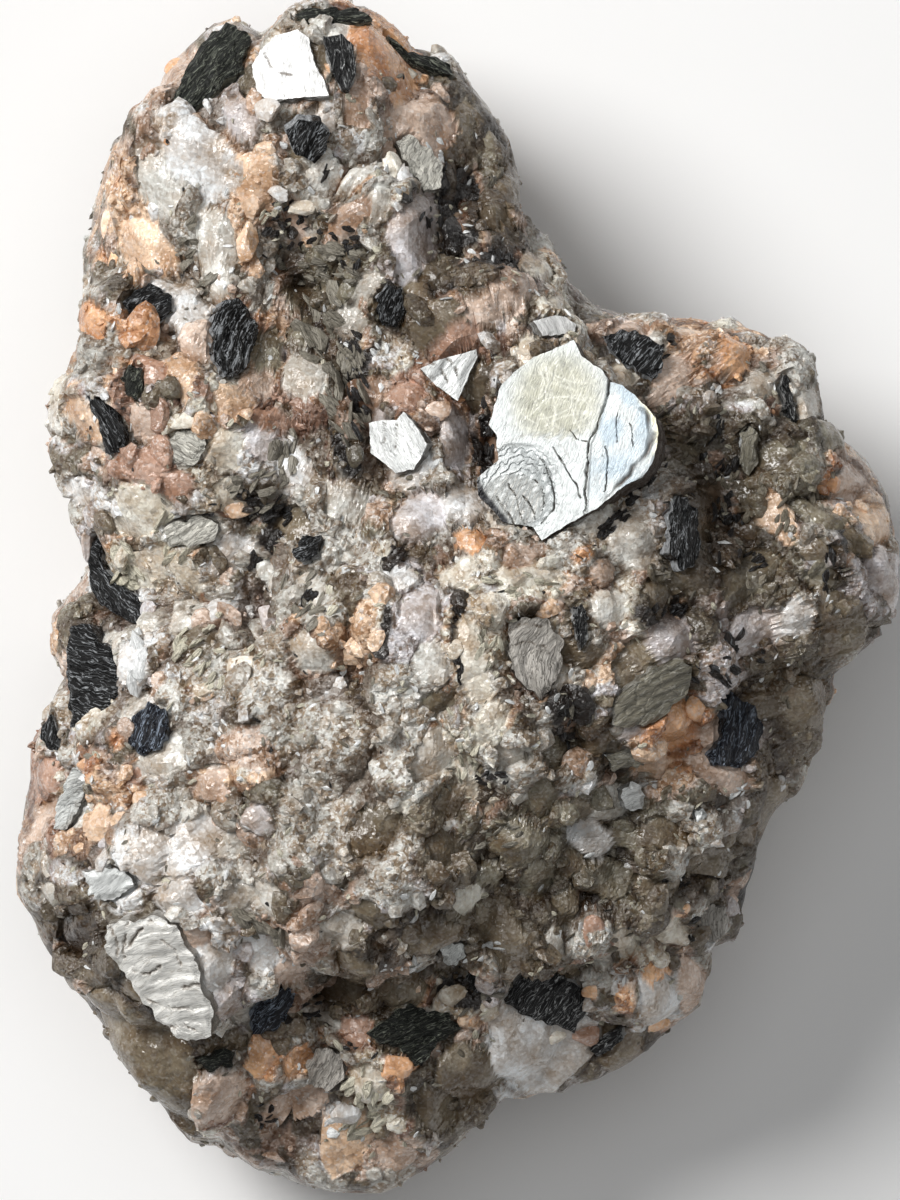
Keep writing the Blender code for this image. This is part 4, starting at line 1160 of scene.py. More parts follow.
def cut_crystals(centres, normals, sides, sizes, net, tris, random):
    """For each crystal: reach(d) = least h / (d . n) over its planes, scaled by its half sizes and set up.

    Also gives the faces and how low each corner lies in its crystal, 0 to 1.
    """
    count = len(centres)
    plane_normals = unit(random.normal(size=(count, PLANES, 3)))
    plane_reach = NEAREST_PLANE + (1.0 - NEAREST_PLANE) * random.random((count, PLANES))
    facing = np.einsum("vk,npk->nvp", net, plane_normals)
    hits = plane_reach[:, None, :] / np.maximum(facing, LEAST_FACING)
    reach = np.minimum(np.min(np.where(facing > LEAST_FACING, hits, WIDEST_REACH), axis=2), WIDEST_REACH)
    local = net[None, :, :] * reach[:, :, None]
    low = ease(0.15 - 0.9 * local[:, :, 2])
    local = local * sizes[:, None, :]
    others = np.cross(normals, sides)
    points = (
        centres[:, None, :]
        + local[:, :, 0:1] * sides[:, None, :]
        + local[:, :, 1:2] * others[:, None, :]
        + local[:, :, 2:3] * normals[:, None, :]
    )
    faces = tris[None, :, :] + (np.arange(count) * len(net))[:, None, None]
    return points.reshape(-1, 3), faces.reshape(-1, 3), low.ravel()


def side_axes(normals, turns):
    """Unit sideways axes square to the normals, turned about them from +X by the given angles."""
    side = unit(np.cross((0.0, 1.0, 0.0), normals))
    other = np.cross(normals, side)
    return side * np.cos(turns)[:, None] + other * np.sin(turns)[:, None]


GRAIN_NET = crystal_net(10, (60.0, 32.0, 6.0, -25.0))
CRUMB_NET = crystal_net(6, (45.0, 0.0))
LARGE_NET = crystal_net(22, (74.0, 60.0, 47.0, 35.0, 24.0, 13.0, 0.0, -20.0))
print("faces", len(LARGE_NET[1]), len(GRAIN_NET[1]), len(CRUMB_NET[1]))

# %% [markdown]
# Grains have to cover the lump evenly from every side. Points are drawn on the skin's triangles in
# proportion to their area, then one point is kept in each small cube of space, which spreads them out.
# Each grain stands along the lump's broad outward direction at its place.

# %% Even places on the skin
SAMPLES = 400000


def skin_samples(count, random):
    """Random points on the skin: a triangle by its share of area, then a + s (b - a) + t (c - a).

    The same point of the smooth form goes along in three more columns.
    """
    tris = np.vstack((skin_quads[:, (0, 1, 2)], skin_quads[:, (0, 2, 3)]))
    both = np.column_stack((skin_points, form_points))
    a, b, c = (both[tris[:, k]] for k in range(3))
    reach = np.cumsum(np.linalg.norm(np.cross((b - a)[:, :3], (c - a)[:, :3]), axis=1))
    pick = np.searchsorted(reach, random.random(count) * reach[-1])
    s, t = random.random(count), random.random(count)
    fold = s + t > 1.0
    s, t = np.where(fold, 1.0 - s, s), np.where(fold, 1.0 - t, t)
    return a[pick] + s[:, None] * (b - a)[pick] + t[:, None] * (c - a)[pick]


def broad_height(x, y):
    """Height of the upper face without its grains."""
    angle, reach, rim = rim_place(x, y)
    share = np.clip(reach / calm_radius(angle, np.clip(reach / rim, 0.0, 1.0)), 0.0, 0.995)
    lift = np.sqrt(1.0 - share ** (2.0 / SIDE_FULLNESS))
    dome = RIM_HEIGHT + DOME_HEIGHT * lift ** DOME_FULLNESS
    return dome + face_relief(x, y) * ease(lift / RELIEF_FADE)


def broad_normals(points):
    """Outward direction: from the face's slope above the rim, out and a little down below it."""
    x, y = points[:, 0], points[:, 1]
    slope_x = (broad_height(x - 1.0, y) - broad_height(x + 1.0, y)) / 2.0
    slope_y = (broad_height(x, y - 1.0) - broad_height(x, y + 1.0)) / 2.0
    normal = unit(np.column_stack((slope_x, slope_y, np.ones(len(points)))))
    angle = rim_place(x, y)[0]
    downward = -0.35 * ease((RIM_HEIGHT - points[:, 2]) / 10.0)
    outward = np.column_stack((np.cos(angle), np.sin(angle), downward))
    under = ease((RIM_HEIGHT + 4.0 - points[:, 2]) / 4.0)[:, None]
    return unit(normal * (1.0 - under) + outward * under)


def thin_out(points, spacing, random):
    """Keep one point in each cube of the given side."""
    order = random.permutation(len(points))
    cell = np.floor(points[order, :3] / spacing).astype(int)
    _, first = np.unique(cell, axis=0, return_index=True)
    return points[order[first]]


places = skin_samples(SAMPLES, np.random.default_rng(20))
print(len(places), "places on the skin")

# %% [markdown]
# The small single crystals of the list are pieces of their own. Each sits on the face at its place, sunk so
# that a third of it shows.

# %% Single crystals on the face
def face_point(x, y):
    """Skin height at a place of the face, from the nearest of the skin's upper points."""
    upper = skin_points[:UPPER_COUNT]
    gap = (upper[None, :, 0] - x[:, None]) ** 2 + (upper[None, :, 1] - y[:, None]) ** 2
    return upper[np.argmin(gap, axis=1), 2]


def build_crystals():
    """All listed crystals too small for a roof, each cut by planes and sunk into the face, as one mesh."""
    random = np.random.default_rng(31)
    small = [row for row in CRYSTALS if min(row[3:5]) < SMALLEST_ROOF]
    kinds = np.array([MINERAL_NAMES.index(row[0]) for row in small])
    numbers = np.array([row[1:] for row in small], dtype=float)
    x, y = to_plane(numbers[:, 0], numbers[:, 1])
    level = broad_height(x, y) + 0.7 * (face_point(x, y) - broad_height(x, y))
    centres = np.column_stack((x, y, level))
    normals = unit(broad_normals(centres) + 0.12 * random.normal(size=centres.shape))
    half = numbers[:, 2:4]
    depth = 0.62 * np.minimum(half[:, 0], half[:, 1])
    sizes = np.column_stack((half, depth)) * 1.12
    centres -= normals * (0.75 * depth)[:, None]
    net, tris = LARGE_NET
    sides = side_axes(normals, np.radians(numbers[:, 4]))
    points, faces, low = cut_crystals(centres, normals, sides, sizes, net, tris, random)
    mix = (0.45 + 0.5 * random.random(len(kinds)))[:, None]
    colours = np.repeat(DARK_TONES[kinds] * (1.0 - mix) + LIGHT_TONES[kinds] * mix, len(net), axis=0)
    make_piece(
        "single_crystals", points, [faces], CRYSTAL_ROCK, "granite",
        # Painted shade, darkest at each crystal's foot.
        low_place=0.5 * low, clear_face=0.7, grain_colour=colours,
    )


build_crystals()


def near_crystals(points, share):
    """True inside the oval of a single crystal's half sizes, times a share."""
    hit = np.zeros(len(points), dtype=bool)
    for _, *place in ALL_CRYSTALS:
        along, over = turned_shares(points[:, 0], points[:, 1], *place)
        hit |= along * along + over * over < share * share
    return hit & (points[:, 2] > RIM_HEIGHT)


# %% [markdown]
# Then the crowd: middle-sized grains close together, and crumbs between them. Each grain draws its mineral
# from the areas and crystals near it.

# %% Grains and crumbs
SIDE_LEVEL = 16.0
FOOT_LEVEL = 0.9
RIM_CALM = 6.0
RIM_SINK = 0.85
RIM_SHRINK = 0.45
STEEP = 0.45
LOW_SIDE = 8.0


def scatter_grains(name, levels, spacing, kept, size_range, net, tilt, sink, seed, flat, margin, share):
    """Even grains between two levels in mm, each with its own mineral, size and tilt."""
    random = np.random.default_rng(seed)
    points = places[(places[:, 2] > levels[0]) & (places[:, 2] <= levels[1])]
    chosen = thin_out(points, spacing, random)
    chosen = chosen[~inside_books(chosen[:, :3], margin) & ~near_crystals(chosen, share)]
    chosen = chosen[random.random(len(chosen)) < kept]
    points, form = chosen[:, :3], chosen[:, 3:]
    upright = broad_normals(points)
    normals = unit(upright + tilt * random.normal(size=points.shape))
    low, high = size_range
    radius = low + (high - low) * random.random(len(points)) ** 1.8
    sizes = radius[:, None] * (0.75 + 0.5 * random.random((len(points), 3)))
    sizes[:, 2] *= flat
    low_down = 1.0 - ease((points[:, 2:] - RIM_HEIGHT) / RIM_CALM)
    low_down = np.maximum(low_down, 1.0 - ease(upright[:, 2:] / STEEP))
    sizes *= 1.0 - RIM_SHRINK * low_down
    _, reach, rim = rim_place(points[:, 0], points[:, 1])
    sizes *= np.where(points[:, 2] > LOW_SIDE, np.clip(0.5 * (rim - reach) + 0.5, 0.3, 1.0), 1.0)[:, None]
    centres = points - normals * (sizes[:, 2:3] * (sink + RIM_SINK * low_down))
    net_points, tris = net
    sides = side_axes(normals, 2 * math.pi * random.random(len(points)))
    corners, faces, depth = cut_crystals(centres, normals, sides, sizes, net_points, tris, random)
    _, colours = cell_minerals(points, form)
    # Painted shade, darkest at each grain's foot and in the hollows.
    low = np.maximum(0.5 * depth, 0.9 * hollow_shade(points).repeat(len(net_points)))
    make_piece(
        name, corners, [faces], GRAIN_ROCK, "granite",
        low_place=low, clear_face=0.4, grain_colour=colours.repeat(len(net_points), axis=0),
    )


FACE_LEVELS = (SIDE_LEVEL, 60.0)
SIDE_LEVELS = (FOOT_LEVEL, SIDE_LEVEL)
scatter_grains("grains_face", FACE_LEVELS, 2.7, 0.42, (0.8, 2.0), GRAIN_NET, 0.35, 0.85, 21, 0.6, 0.3, 0.9)
scatter_grains("grains_side", SIDE_LEVELS, 3.3, 0.5, (1.0, 1.9), GRAIN_NET, 0.35, 0.8, 22, 0.6, 0.9, 0.95)
scatter_grains("crumbs_face", FACE_LEVELS, 1.3, 0.35, (0.3, 0.75), CRUMB_NET, 0.5, 0.6, 23, 0.7, 0.0, 0.9)
scatter_grains("crumbs_side", SIDE_LEVELS, 2.0, 0.5, (0.4, 0.9), CRUMB_NET, 0.5, 0.55, 24, 0.7, 0.4, 0.95)

# %% [markdown]
# Mica splits into sheets thinner than paper, so a book's face shows torn steps, long streaks where sheets
# end, and fine cracks, and its side shows the sheets edge-on. The node group below draws streaks, hairlines
# and cracks in the book's own coordinates, which run along and across its grain and up through its sheets.

# %% Shared node group for mica sheets
MICA_DIRT = (0.16, 0.11, 0.07, 1.0)


def sheet_group():
    """Streaks from stretched noise, hairs from finer noise, cracks from cell edges, dirt in low places."""
    tree, inputs, outputs = open_group(
        "mica sheets",
        [("Place", "Vector", None), ("Colour", "Color", None), ("Streak colour", "Color", None),
         ("Streak share", "Float", 0.3), ("Shade and dirt", "Float", 0.0), ("Crack shade", "Float", 0.4)],
        [("Colour", "Color"), ("Roughness", "Float"), ("Height", "Float")],
    )
    sway = add_node(tree, "ShaderNodeTexNoise", {"Vector": inputs["Place"], "Scale": 0.5, "Detail": 3.0})
    swayed = vector_maths("MULTIPLY_ADD", sway.outputs["Color"], (1.6, 1.1, 0.4), inputs["Place"])

    def stretched(scale):
        """The swayed place times a scale for each axis."""
        return vector_maths("MULTIPLY", swayed, scale)

    streaks = noise(stretched((0.28, 1.7, 2.2)), 1.0, 5.0, 0.62)
    hairs = noise(stretched((0.7, 7.5, 9.0)), 1.0, 4.0, 0.6)
    cells = add_node(
        tree, "ShaderNodeTexVoronoi", {"Vector": stretched((0.22, 0.55, 0.9)), "Scale": 1.0},
        feature="DISTANCE_TO_EDGE",
    )
    middle = minus(0.78, times(inputs["Streak share"], 0.55))
    over_middle = minus(streaks, middle)
    fibres = noise(stretched((0.45, 3.0, 3.6)), 1.0, 2.0, 0.5)
    away = maths("ABSOLUTE", minus(fibres, 0.5))
    near_middle = spread(away, 0.0, 0.032, 1.0, 0.0)
    thin = times(near_middle, spread(over_middle, -0.18, 0.0, 0.3, 1.0))
    streak_mask = larger(times(spread(over_middle, 0.0, 0.08), 0.45), thin)
    hair_tone = spread(hairs, 0.3, 0.7, 0.65, 1.3)
    crack = spread(cells.outputs["Distance"], 0.0, 0.022, inputs["Crack shade"], 1.0)
    mixed = blend_colours(streak_mask, inputs["Colour"], inputs["Streak colour"])
    toned = blend_colours(1.0, mixed, grey(times(hair_tone, crack)), "MULTIPLY")
    dirty = blend_colours(inputs["Shade and dirt"], toned, MICA_DIRT)
    tree.links.new(dirty, outputs["Colour"])
    tree.links.new(spread(hairs, 0.3, 0.7, 0.18, 0.5), outputs["Roughness"])
    crack_dip = times(minus(1.0, inputs["Crack shade"]), 1.2)
    crack_height = times(spread(cells.outputs["Distance"], 0.0, 0.05), crack_dip)
    height = plus(times(streaks, 1.4), plus(hairs, crack_height))
    height = plus(height, times(thin, 0.5))
    tree.links.new(height, outputs["Height"])
    return tree


SHEETS = sheet_group()
print("node group", SHEETS.name)

# %% [markdown]
# Three mica materials use that group. Silver mica is pearly and almost white, pale mica is satin, and black
# mica is glossy, so its hairlines flash in the light.

# %% Mica materials
MICA_STEP = 0.00025
MICA_COAT_ROUGHNESS = 0.25
MICA_READINGS = [("sheet_place", "Vector", "Place"), ("mica_colour", "Color", "Colour"),
                 ("streak_colour", "Color", "Streak colour"), ("streak_share", "Fac", "Streak share"),
                 ("low_place", "Fac", "Shade and dirt")]


def mica_material(name, metallic, coat, crack_shade, bump, level):
    """Mica with its own metal share, coat, crack tone, relief and gloss."""
    shine = {"Metallic": metallic, "Coat Weight": coat, "Coat Roughness": MICA_COAT_ROUGHNESS,
             "Specular IOR Level": level}
    return detailed_material(
        name, SHEETS, MICA_READINGS, {"Crack shade": crack_shade}, bump, MICA_STEP, shine
    )


MICA = {
    "silver": mica_material("silver mica", 0.15, 0.15, 0.9, 0.35, 0.5),
    "pale": mica_material("pale mica", 0.05, 0.15, 0.6, 0.8, 0.5),
    "black": mica_material("black mica", 0.0, 0.0, 0.7, 1.0, 0.3),
}

# %% [markdown]
# What each book looks like: palette, the direction of its streaks in degrees from +X, how much the streaks
# bend, the share of streaks, and how deep its steps are in mm. A palette is a sheet colour and a streak
# colour as the eye sees them.

# %% Looks of the books
PALETTES = {name: (row[:3], row[3:]) for name, *row in table("""
glint .985 .985 .98 .75 .75 .74
bright .93 .94 .935 .55 .55 .54
white .87 .88 .875 .64 .65 .64
silver .82 .83 .82 .4 .4 .39
cream_white .93 .925 .905 .72 .7 .66
cream .86 .85 .81 .46 .44 .4
grey .72 .7 .67 .36 .34 .31
olive .52 .5 .44 .8 .79 .75
black .035 .035 .04 .88 .9 .92
green .1 .11 .095 .66 .68 .62
blue .06 .07 .11 .76 .82 .9
half .07 .07 .075 .93 .94 .94
""")}
BOOK_LOOKS = {name: row for name, *row in table("""
silver_plate_large white 70 0 .1 .1, silver_chip_above_plate glint 100 0 .1 .06
silver_plate_top glint 95 .01 .04 .06, silver_plate_middle bright 118 .02 .28 .15
silver_wedge bright 55 0 .35 .2, silver_chip_lower_left white 35 0 .25 .2
silver_flaky_book_lower_left cream_white 18 .04 .3 .2, silver_round_flake white 20 0 .15 .15
silver_flake_right white 80 0 .15 .15, silver_flake_foot silver 60 0 .3 .2
pale_book_centre grey 75 .1 .55 .2, pale_book_right olive 25 .02 .3 .25, pale_flake_right olive 10 0 .45 .2
grey_fan_foot grey 95 .05 .5 .2, silver_grey_fan_left silver 25 .05 .45 .2, pale_book_left cream 35 0 .4 .3
pale_book_upper_left cream 150 0 .45 .25, pale_book_far_right olive 80 0 .4 .25
pale_book_head cream 60 0 .45 .25, grey_book_foot grey 60 0 .5 .25, black_book_top_left green 55 .01 .45 .3
black_ridge_top green 5 0 .45 .2, black_ridge_top_right green 150 0 .45 .2
black_block_beside_top_plate half 95 0 .35 .25, black_nugget_head black 60 0 .35 .35
black_book_upper_left black 30 0 .28 .2, black_streaked_oval black 60 .04 .58 .25
black_book_by_seam black 70 0 .2 .25, black_spur_left black 120 0 .25 .25
black_wedge_upper_left green 60 0 .45 .25, black_crescent_left black 135 0 .22 .25
black_square_left black 165 .02 .42 .2, black_speckled_left blue 75 0 .5 .25
black_book_left_edge black 90 0 .3 .2, black_book_inner_left black 40 0 .18 .25
black_book_above_plate black 55 0 .42 .3, black_drop_right_of_plate black 80 .02 .38 .25
black_band_right half 100 0 .4 .2, blue_black_book_right blue 70 0 .3 .3
streaked_book_centre half 80 0 .55 .2, black_book_foot_middle green 20 0 .4 .3
black_book_foot_right half 58 0 .36 .3, black_book_under_ledge black 60 0 .25 .2
black_book_foot_left blue 55 0 .42 .25, black_sliver_foot half 35 0 .35 .2
black_flake_below_flaky_book green 15 0 .4 .2
""")}

# %% [markdown]
# The large plate is the piece that the eye goes to first, so its cracks, its gold window, its bluish side
# and its swirl of curved sheets are drawn where they are, in the same window coordinates.

# %% Features of the large plate
def cracks(text):
    """Rows of half width, depth and then places across and down, as (places, half width, depth)."""
    return [(list(zip(row[2::2], row[3::2])), row[0], row[1]) for row in table(text)]


PLATE_CRACKS = cracks("""
.09 .7 60.9 38.6 60.9 39.5 60.7 41.1 59.8 43.4 59.1 44.9 59 46.1 59 47.3 58.8 50.1 59 51 58.7 52.9
.05 .4 55.5 45.3 56.9 47.4 58.1 49.4 58.4 50.4, .05 .4 60.7 45.3 61.1 46.6 60.9 48.2 60.8 49.7
.06 .5 54.3 46.4 55.5 48.8 55.8 50.2 55.7 51.6 54.5 52.9, .06 .5 50 50.3 51 51.6 51.9 53
.04 .3 61.9 42 61.8 43.6 62 44.8, .04 .3 63.1 43 63.4 44.2 63.5 45.3, .05 .4 52.6 50.2 53.6 51.2 53.9 52.6
.05 .4 51.2 49 52 50.4 52.4 52 52.8 52.9, .04 .3 53.8 48.6 54.6 49.6 54.8 51.2
.04 .2 57.2 43.6 58 44.6 58.9 44.8
""")
PLATE_TERRACE = table("49.6 46.3, 50.8 44.9, 52.4 44.2, 54 44.1, 55.4 44.5, 56.6 45.4, 57.2 46.4")
PLATE_RIM = table("64 40.2, 65.3 42, 66 44, 65.7 45.6, 64.9 47, 63.4 48.6, 61.6 50.6")
PLATE_BLACK = [(47.6, 48.6), (48.4, 50.2), (49.6, 51.6), (50.6, 52.8)]
SWIRL_MIDDLE = (52.2, 50.0)

# Cracks of other books: lines of places across and down, half width and depth in mm.
BOOK_CRACKS = {
    "silver_flaky_book_lower_left": cracks("""
.13 .4 13.3 94 14 91.2 15.1 89.8 17 89, .16 .5 13.3 94.6 14.3 92.9 15.4 91.6 16.7 90.7
.13 .4 14 96 15.6 96.4 17 95.4, .15 .4 19 97.9 20.2 97.4 21.4 97.8, .12 .3 14.8 99 17 100.2 19.2 100
.12 .3 16 102.4 18.6 102 20.4 103, .12 .3 12.2 91.2 12.8 92.6 12.6 94.4, .1 .2 17.6 92.6 18.8 93.6 19.2 95.4
    """),
    "silver_plate_middle": cracks("""
.1 .3 42 42.2 42.8 43.2 43.4 44.6, .08 .2 38.4 39.4 38.9 42 38.8 44.6, .06 .2 39.8 39 40.2 42 40 45.2
    """),
    "silver_plate_top": cracks("""
.07 .2 26 4.6 26.8 6.4 27.9 8.2 29.8 8.6
    """),
    "silver_wedge": cracks("""
.08 .2 42.6 36.2 44.2 37.4 45 39, .07 .2 43.6 35.6 45.2 36.6 45.8 38
    """),
    "pale_book_centre": cracks("""
.14 .4 50 61.9 51.2 60.9 52.4 61, .07 .2 50.4 63.4 52 62.4 54 62.8, .06 .2 50.4 65 52.4 64.2 54.6 64.8
    """),
}


def oval_mask(across, down, place, half_width, half_length, soft=0.35):
    """1 inside an oval, falling to 0 over a soft share of its size."""
    reach = np.hypot((across - place[0]) / half_width, (down - place[1]) / half_length)
    return ease((1.0 + soft - reach) / (2.0 * soft))


WAVE_COUNT = 7
WAVE_SCALE = 3.0


def waves(x, y, size, seed):
    """Sum of sines of random direction and a wavelength near size, over WAVE_SCALE: about -1 to 1."""
    random = np.random.default_rng(seed)
    total = np.zeros(np.shape(x))
    for _ in range(WAVE_COUNT):
        angle, phase = 2 * math.pi * random.random(2)
        length = size * (0.6 + 0.9 * random.random())
        total = total + np.sin(2 * math.pi * (x * math.cos(angle) + y * math.sin(angle)) / length + phase)
    return total / WAVE_SCALE


def toward(colour, target, share):
    """colour + (target - colour) share, point by point."""
    return colour + (target - colour) * share[:, None]


SCRATCHES = 75
SCRATCH_WIDTH = 0.08
SCRATCH_BEND = 0.08


def plate_scratches(x, y):
    """Pale hair scratches in the gold window: 1 on short, slightly bent lines set at random."""
    random = np.random.default_rng(12)
    mask = np.zeros(len(x))
    for _ in range(SCRATCHES):
        start = np.array(to_plane(51.5 + 8.5 * random.random(), 36.5 + 8.0 * random.random()))
        angle = 2 * math.pi * random.random()
        along = (x - start[0]) * math.cos(angle) + (y - start[1]) * math.sin(angle)
        over = (y - start[1]) * math.cos(angle) - (x - start[0]) * math.sin(angle)
        length = 0.8 + 1.8 * random.random()
        line = bell(over - SCRATCH_BEND * along * along, SCRATCH_WIDTH) * (np.abs(along) < length)
        mask = np.maximum(mask, line * (0.4 + 0.6 * random.random()))
    return mask


# %% [markdown]
# The swirl at the plate's lower left is a stack of sheets bent round one place. Each turn is a saw: it rises
# evenly, falls at once, and has a dark line at its edge. In its inner part the sheets run in folds.

# %% Swirl of curved sheets
SWIRL_TURN = 0.55
SWIRL_FOLD = 0.60


def swirl_saw(across, down, fine):
    """Saw 0..1 over the turns, or over the folds in the inner oval, and the inner oval's mask."""
    reach = np.hypot(across - SWIRL_MIDDLE[0], 0.9 * (down - SWIRL_MIDDLE[1]))
    angle = np.arctan2(down - SWIRL_MIDDLE[1], across - SWIRL_MIDDLE[0])
    turns = reach / SWIRL_TURN + 0.30 * np.sin(3.0 * angle + 0.8 * reach) + 0.30 * fine
    inner = oval_mask(across, down, (51.6, 50.6), 3.2, 2.6, 0.2)
    folds = (across - 47.6 + 0.45 * (down - 50.0)) / SWIRL_FOLD + 0.5 * np.sin(0.9 * down) + 0.2 * fine
    return np.where(inner > 0.5, folds - np.floor(folds), turns - np.floor(turns)), inner


def paint_large_plate(across, down, seed=3):
    """Colour, dip in mm and dirt of the large plate from its listed features, with painted shade in the
    groove inside its right rim and a painted highlight along that rim.
    """
    x, y = to_plane(across, down)
    count = len(x)

    def wave(size, number):
        """Waves over the plate, with a seed of their own."""
        return waves(across, down, size, seed + number)

    fine = wave(0.9, 0)
    mottle = 1.0 + 0.07 * wave(1.1, 9) + 0.08 * wave(3.1, 10)
    colour = np.tile(linear((0.83, 0.85, 0.848)), (count, 1)) * mottle[:, None]
    right = ease((across - np.interp(down, [38.0, 43.4, 45.0, 53.0], [61.0, 59.9, 59.2, 58.9])) / 0.3)
    blue = right * ease((51.0 - down) / 2.0) * ease(0.6 + 0.5 * wave(2.6, 1))
    colour = toward(colour, linear((0.70, 0.77, 0.82)), 0.85 * blue)
    gold = oval_mask(across, down, (55.8, 40.6), 4.3, 4.6) * (1.0 - right)
    window = gold * ease((44.9 + 0.4 * fine - down) / 1.3)
    beige = linear((0.66, 0.655, 0.58)) * (1.0 + 0.12 * wave(1.6, 2))[:, None]
    colour = toward(colour, beige, 0.9 * window)
    colour = toward(colour, linear((0.88, 0.88, 0.83)), 0.9 * (plate_scratches(x, y) * window))
    swirl = oval_mask(across, down, (51.8, 49.6), 4.4, 4.6, 0.15) * ease((down - 44.8) / 0.6)
    saw, inner = swirl_saw(across, down, fine)
    broken = ease(0.5 + 0.9 * wave(1.5, 11))
    outer_shade, inner_shade = linear((0.84, 0.855, 0.86)), linear((0.85, 0.835, 0.81))
    shade = outer_shade * (1.0 - inner)[:, None] + inner_shade * inner[:, None]
    colour = toward(colour, shade, swirl * (0.25 + 0.5 * ease((saw - 0.6) / 0.35)))
    edge_shade = ease((saw - 0.84) / 0.1) * swirl * broken
    colour *= (1.0 - 0.72 * edge_shade)[:, None]
    wrinkles = np.abs(waves(across * 2.2, 0.35 * down, 2.0, seed + 12) + 0.1 * fine)
    wrinkles = ease(1.0 - wrinkles / 0.07) * ease((across - 56.0) / 2.0)
    wrinkles = wrinkles * ease((down - 43.5) / 3.0)
    colour *= (1.0 - 0.3 * wrinkles * broken)[:, None]
    terrace_down = np.interp(across, [p[0] for p in PLATE_TERRACE], [p[1] for p in PLATE_TERRACE])
    dip = 0.20 * swirl * saw + 0.10 * window + 0.10 * right
    dip += 0.16 * ease((down - terrace_down) / 0.12) * swirl
    dirt = np.zeros(count)
    wobble = 0.07 * wave(1.7, 4) + 0.03 * wave(0.6, 6)
    sway = 0.07 * wave(1.9, 5)
    parted = 0.45 + 0.55 * ease(0.5 + 0.8 * wave(1.8, 13))
    for line, half_width, depth in PLATE_CRACKS:
        near = distance_to_line(x + wobble, y + sway, line)
        mask = bell(near, half_width * (0.85 + 0.35 * fine)) * parted
        dip += depth * mask
        dirt = np.maximum(dirt, mask)
    dirt = np.maximum(dirt, 0.25 * bell(distance_to_line(x, y, PLATE_TERRACE), 0.10))
    rim = distance_to_line(x, y, PLATE_RIM) + 0.08 * wave(1.3, 14)
    uneven = ease(0.85 + 0.6 * wave(4.0, 15)) * ease((down - 41.2) / 1.0)
    # Painted shade: a brown groove runs just inside the right rim.
    groove = bell(rim - 0.55 - 0.15 * wave(2.2, 16), 0.2) * (across < 66.3) * uneven
    dip += 0.35 * groove
    brown = linear((0.36, 0.29, 0.23)) * (1.0 + 0.4 * waves(across * 2.0, down, 1.0, seed + 7))[:, None]
    colour = toward(colour, brown, 0.9 * groove)
    # Painted highlight: a pale yellow band along the right rim, on its upper part.
    colour = toward(colour, linear((0.98, 0.95, 0.82)), bell(rim, 0.28) * ease((47.5 - down) / 3.0))
    flecks = ease(0.5 + 1.2 * wave(0.7, 8))
    dark = linear((0.13, 0.13, 0.14)) * (1.0 + 1.5 * flecks)[:, None]
    black = bell(distance_to_line(x, y, PLATE_BLACK), 0.75)
    colour = toward(colour, dark, ease(2.0 * black - 0.5))
    return np.clip(colour, 0.003, 0.93), dip, 0.9 * dirt


# %% [markdown]
# A book is drawn as one closed net of rings. From the roomiest point inside its outline the rings widen over
# the face, drop down the side in a zigzag of sheet edges, and close under the rock. Its edge is a little
# torn away.

# %% Edges of a book
LARGE_PLATE = "silver_plate_large"
LARGE_SPACING, EDGE_SPACING = 0.13, 0.24
SMOOTH_EDGED = ("silver_plate", "silver_chip_above", "silver_wedge", "black_nugget", "black_block")
SMOOTH_EDGE_SHARE = 0.3
ROOM_GRID = 41


def resample(flat, spacing):
    """Points along a closed outline, evenly spaced, with every corner kept."""
    points = []
    for start, end in zip(flat, np.roll(flat, -1, axis=0)):
        steps = max(1, int(round(np.linalg.norm(end - start) / spacing)))
        share = np.arange(steps)[:, None] / steps
        points.append(start + share * (end - start))
    return np.vstack(points)


def roomiest_point(flat):
    """The point whose least distance to the outline's side lines, measured inward, is greatest."""
    low, high = flat.min(axis=0), flat.max(axis=0)
    columns, rows = (np.linspace(low[k], high[k], ROOM_GRID) for k in (0, 1))
    grid_x, grid_y = np.meshgrid(columns, rows)
    spots = np.column_stack((grid_x.ravel(), grid_y.ravel()))
    run = np.roll(flat, -1, axis=0) - flat
    inward = np.column_stack((-run[:, 1], run[:, 0])) / np.linalg.norm(run, axis=1)[:, None]
    room = np.einsum("nsk,sk->ns", spots[:, None, :] - flat[None, :, :], inward).min(axis=1)
    return spots[np.argmax(room)]


class BookEdge:
    """A book's edge points, their rays from the roomiest point, and how wide it is torn away there."""

    def __init__(self, number, name, flat):
        """torn = 0.10 + ragged (0.08 + 0.16 short waves + 0.16 long waves), in mm."""
        spacing = LARGE_SPACING if name == LARGE_PLATE else EDGE_SPACING
        self.centre = roomiest_point(flat)
        self.points = resample(flat, spacing)
        self.reach = np.linalg.norm(self.points - self.centre, axis=1)
        self.along = np.arange(len(self.points)) * spacing
        self.ragged = SMOOTH_EDGE_SHARE if name.startswith(SMOOTH_EDGED) else 1.0
        short, long = self.waves(1.3, 500 + number), self.waves(4.0, 600 + number)
        self.torn = 0.10 + 0.16 * self.ragged * short + (0.08 * self.ragged + 0.16 * self.ragged * long)

    def waves(self, size, seed):
        """Waves along the edge."""
        return waves(self.along, 0 * self.along, size, seed)

    def ring(self, width):
        """The edge moved inward along its rays by a width in mm, or not at all where that is below 0."""
        share = 1.0 - np.maximum(width, 0.0) / self.reach
        return self.centre + (self.points - self.centre) * share[:, None]


def grain_axes(x, y, direction, bend):
    """Along and across a book's grain: turned by its direction, then across + bend along^2."""
    cosine, sine = math.cos(math.radians(direction)), math.sin(math.radians(direction))
    along = x * cosine + y * sine
    return along, y * cosine - x * sine + bend * along * along


# %% [markdown]
# The face of a book steps down where sheets are torn, and crumbles a little towards its outline. Its tone
# comes in patches, and its cracks are filled with dirt.

# %% Face of a book
LARGE_RING, RING = 0.12, 0.26
LEAST_RINGS, MOST_RINGS = 8, 96


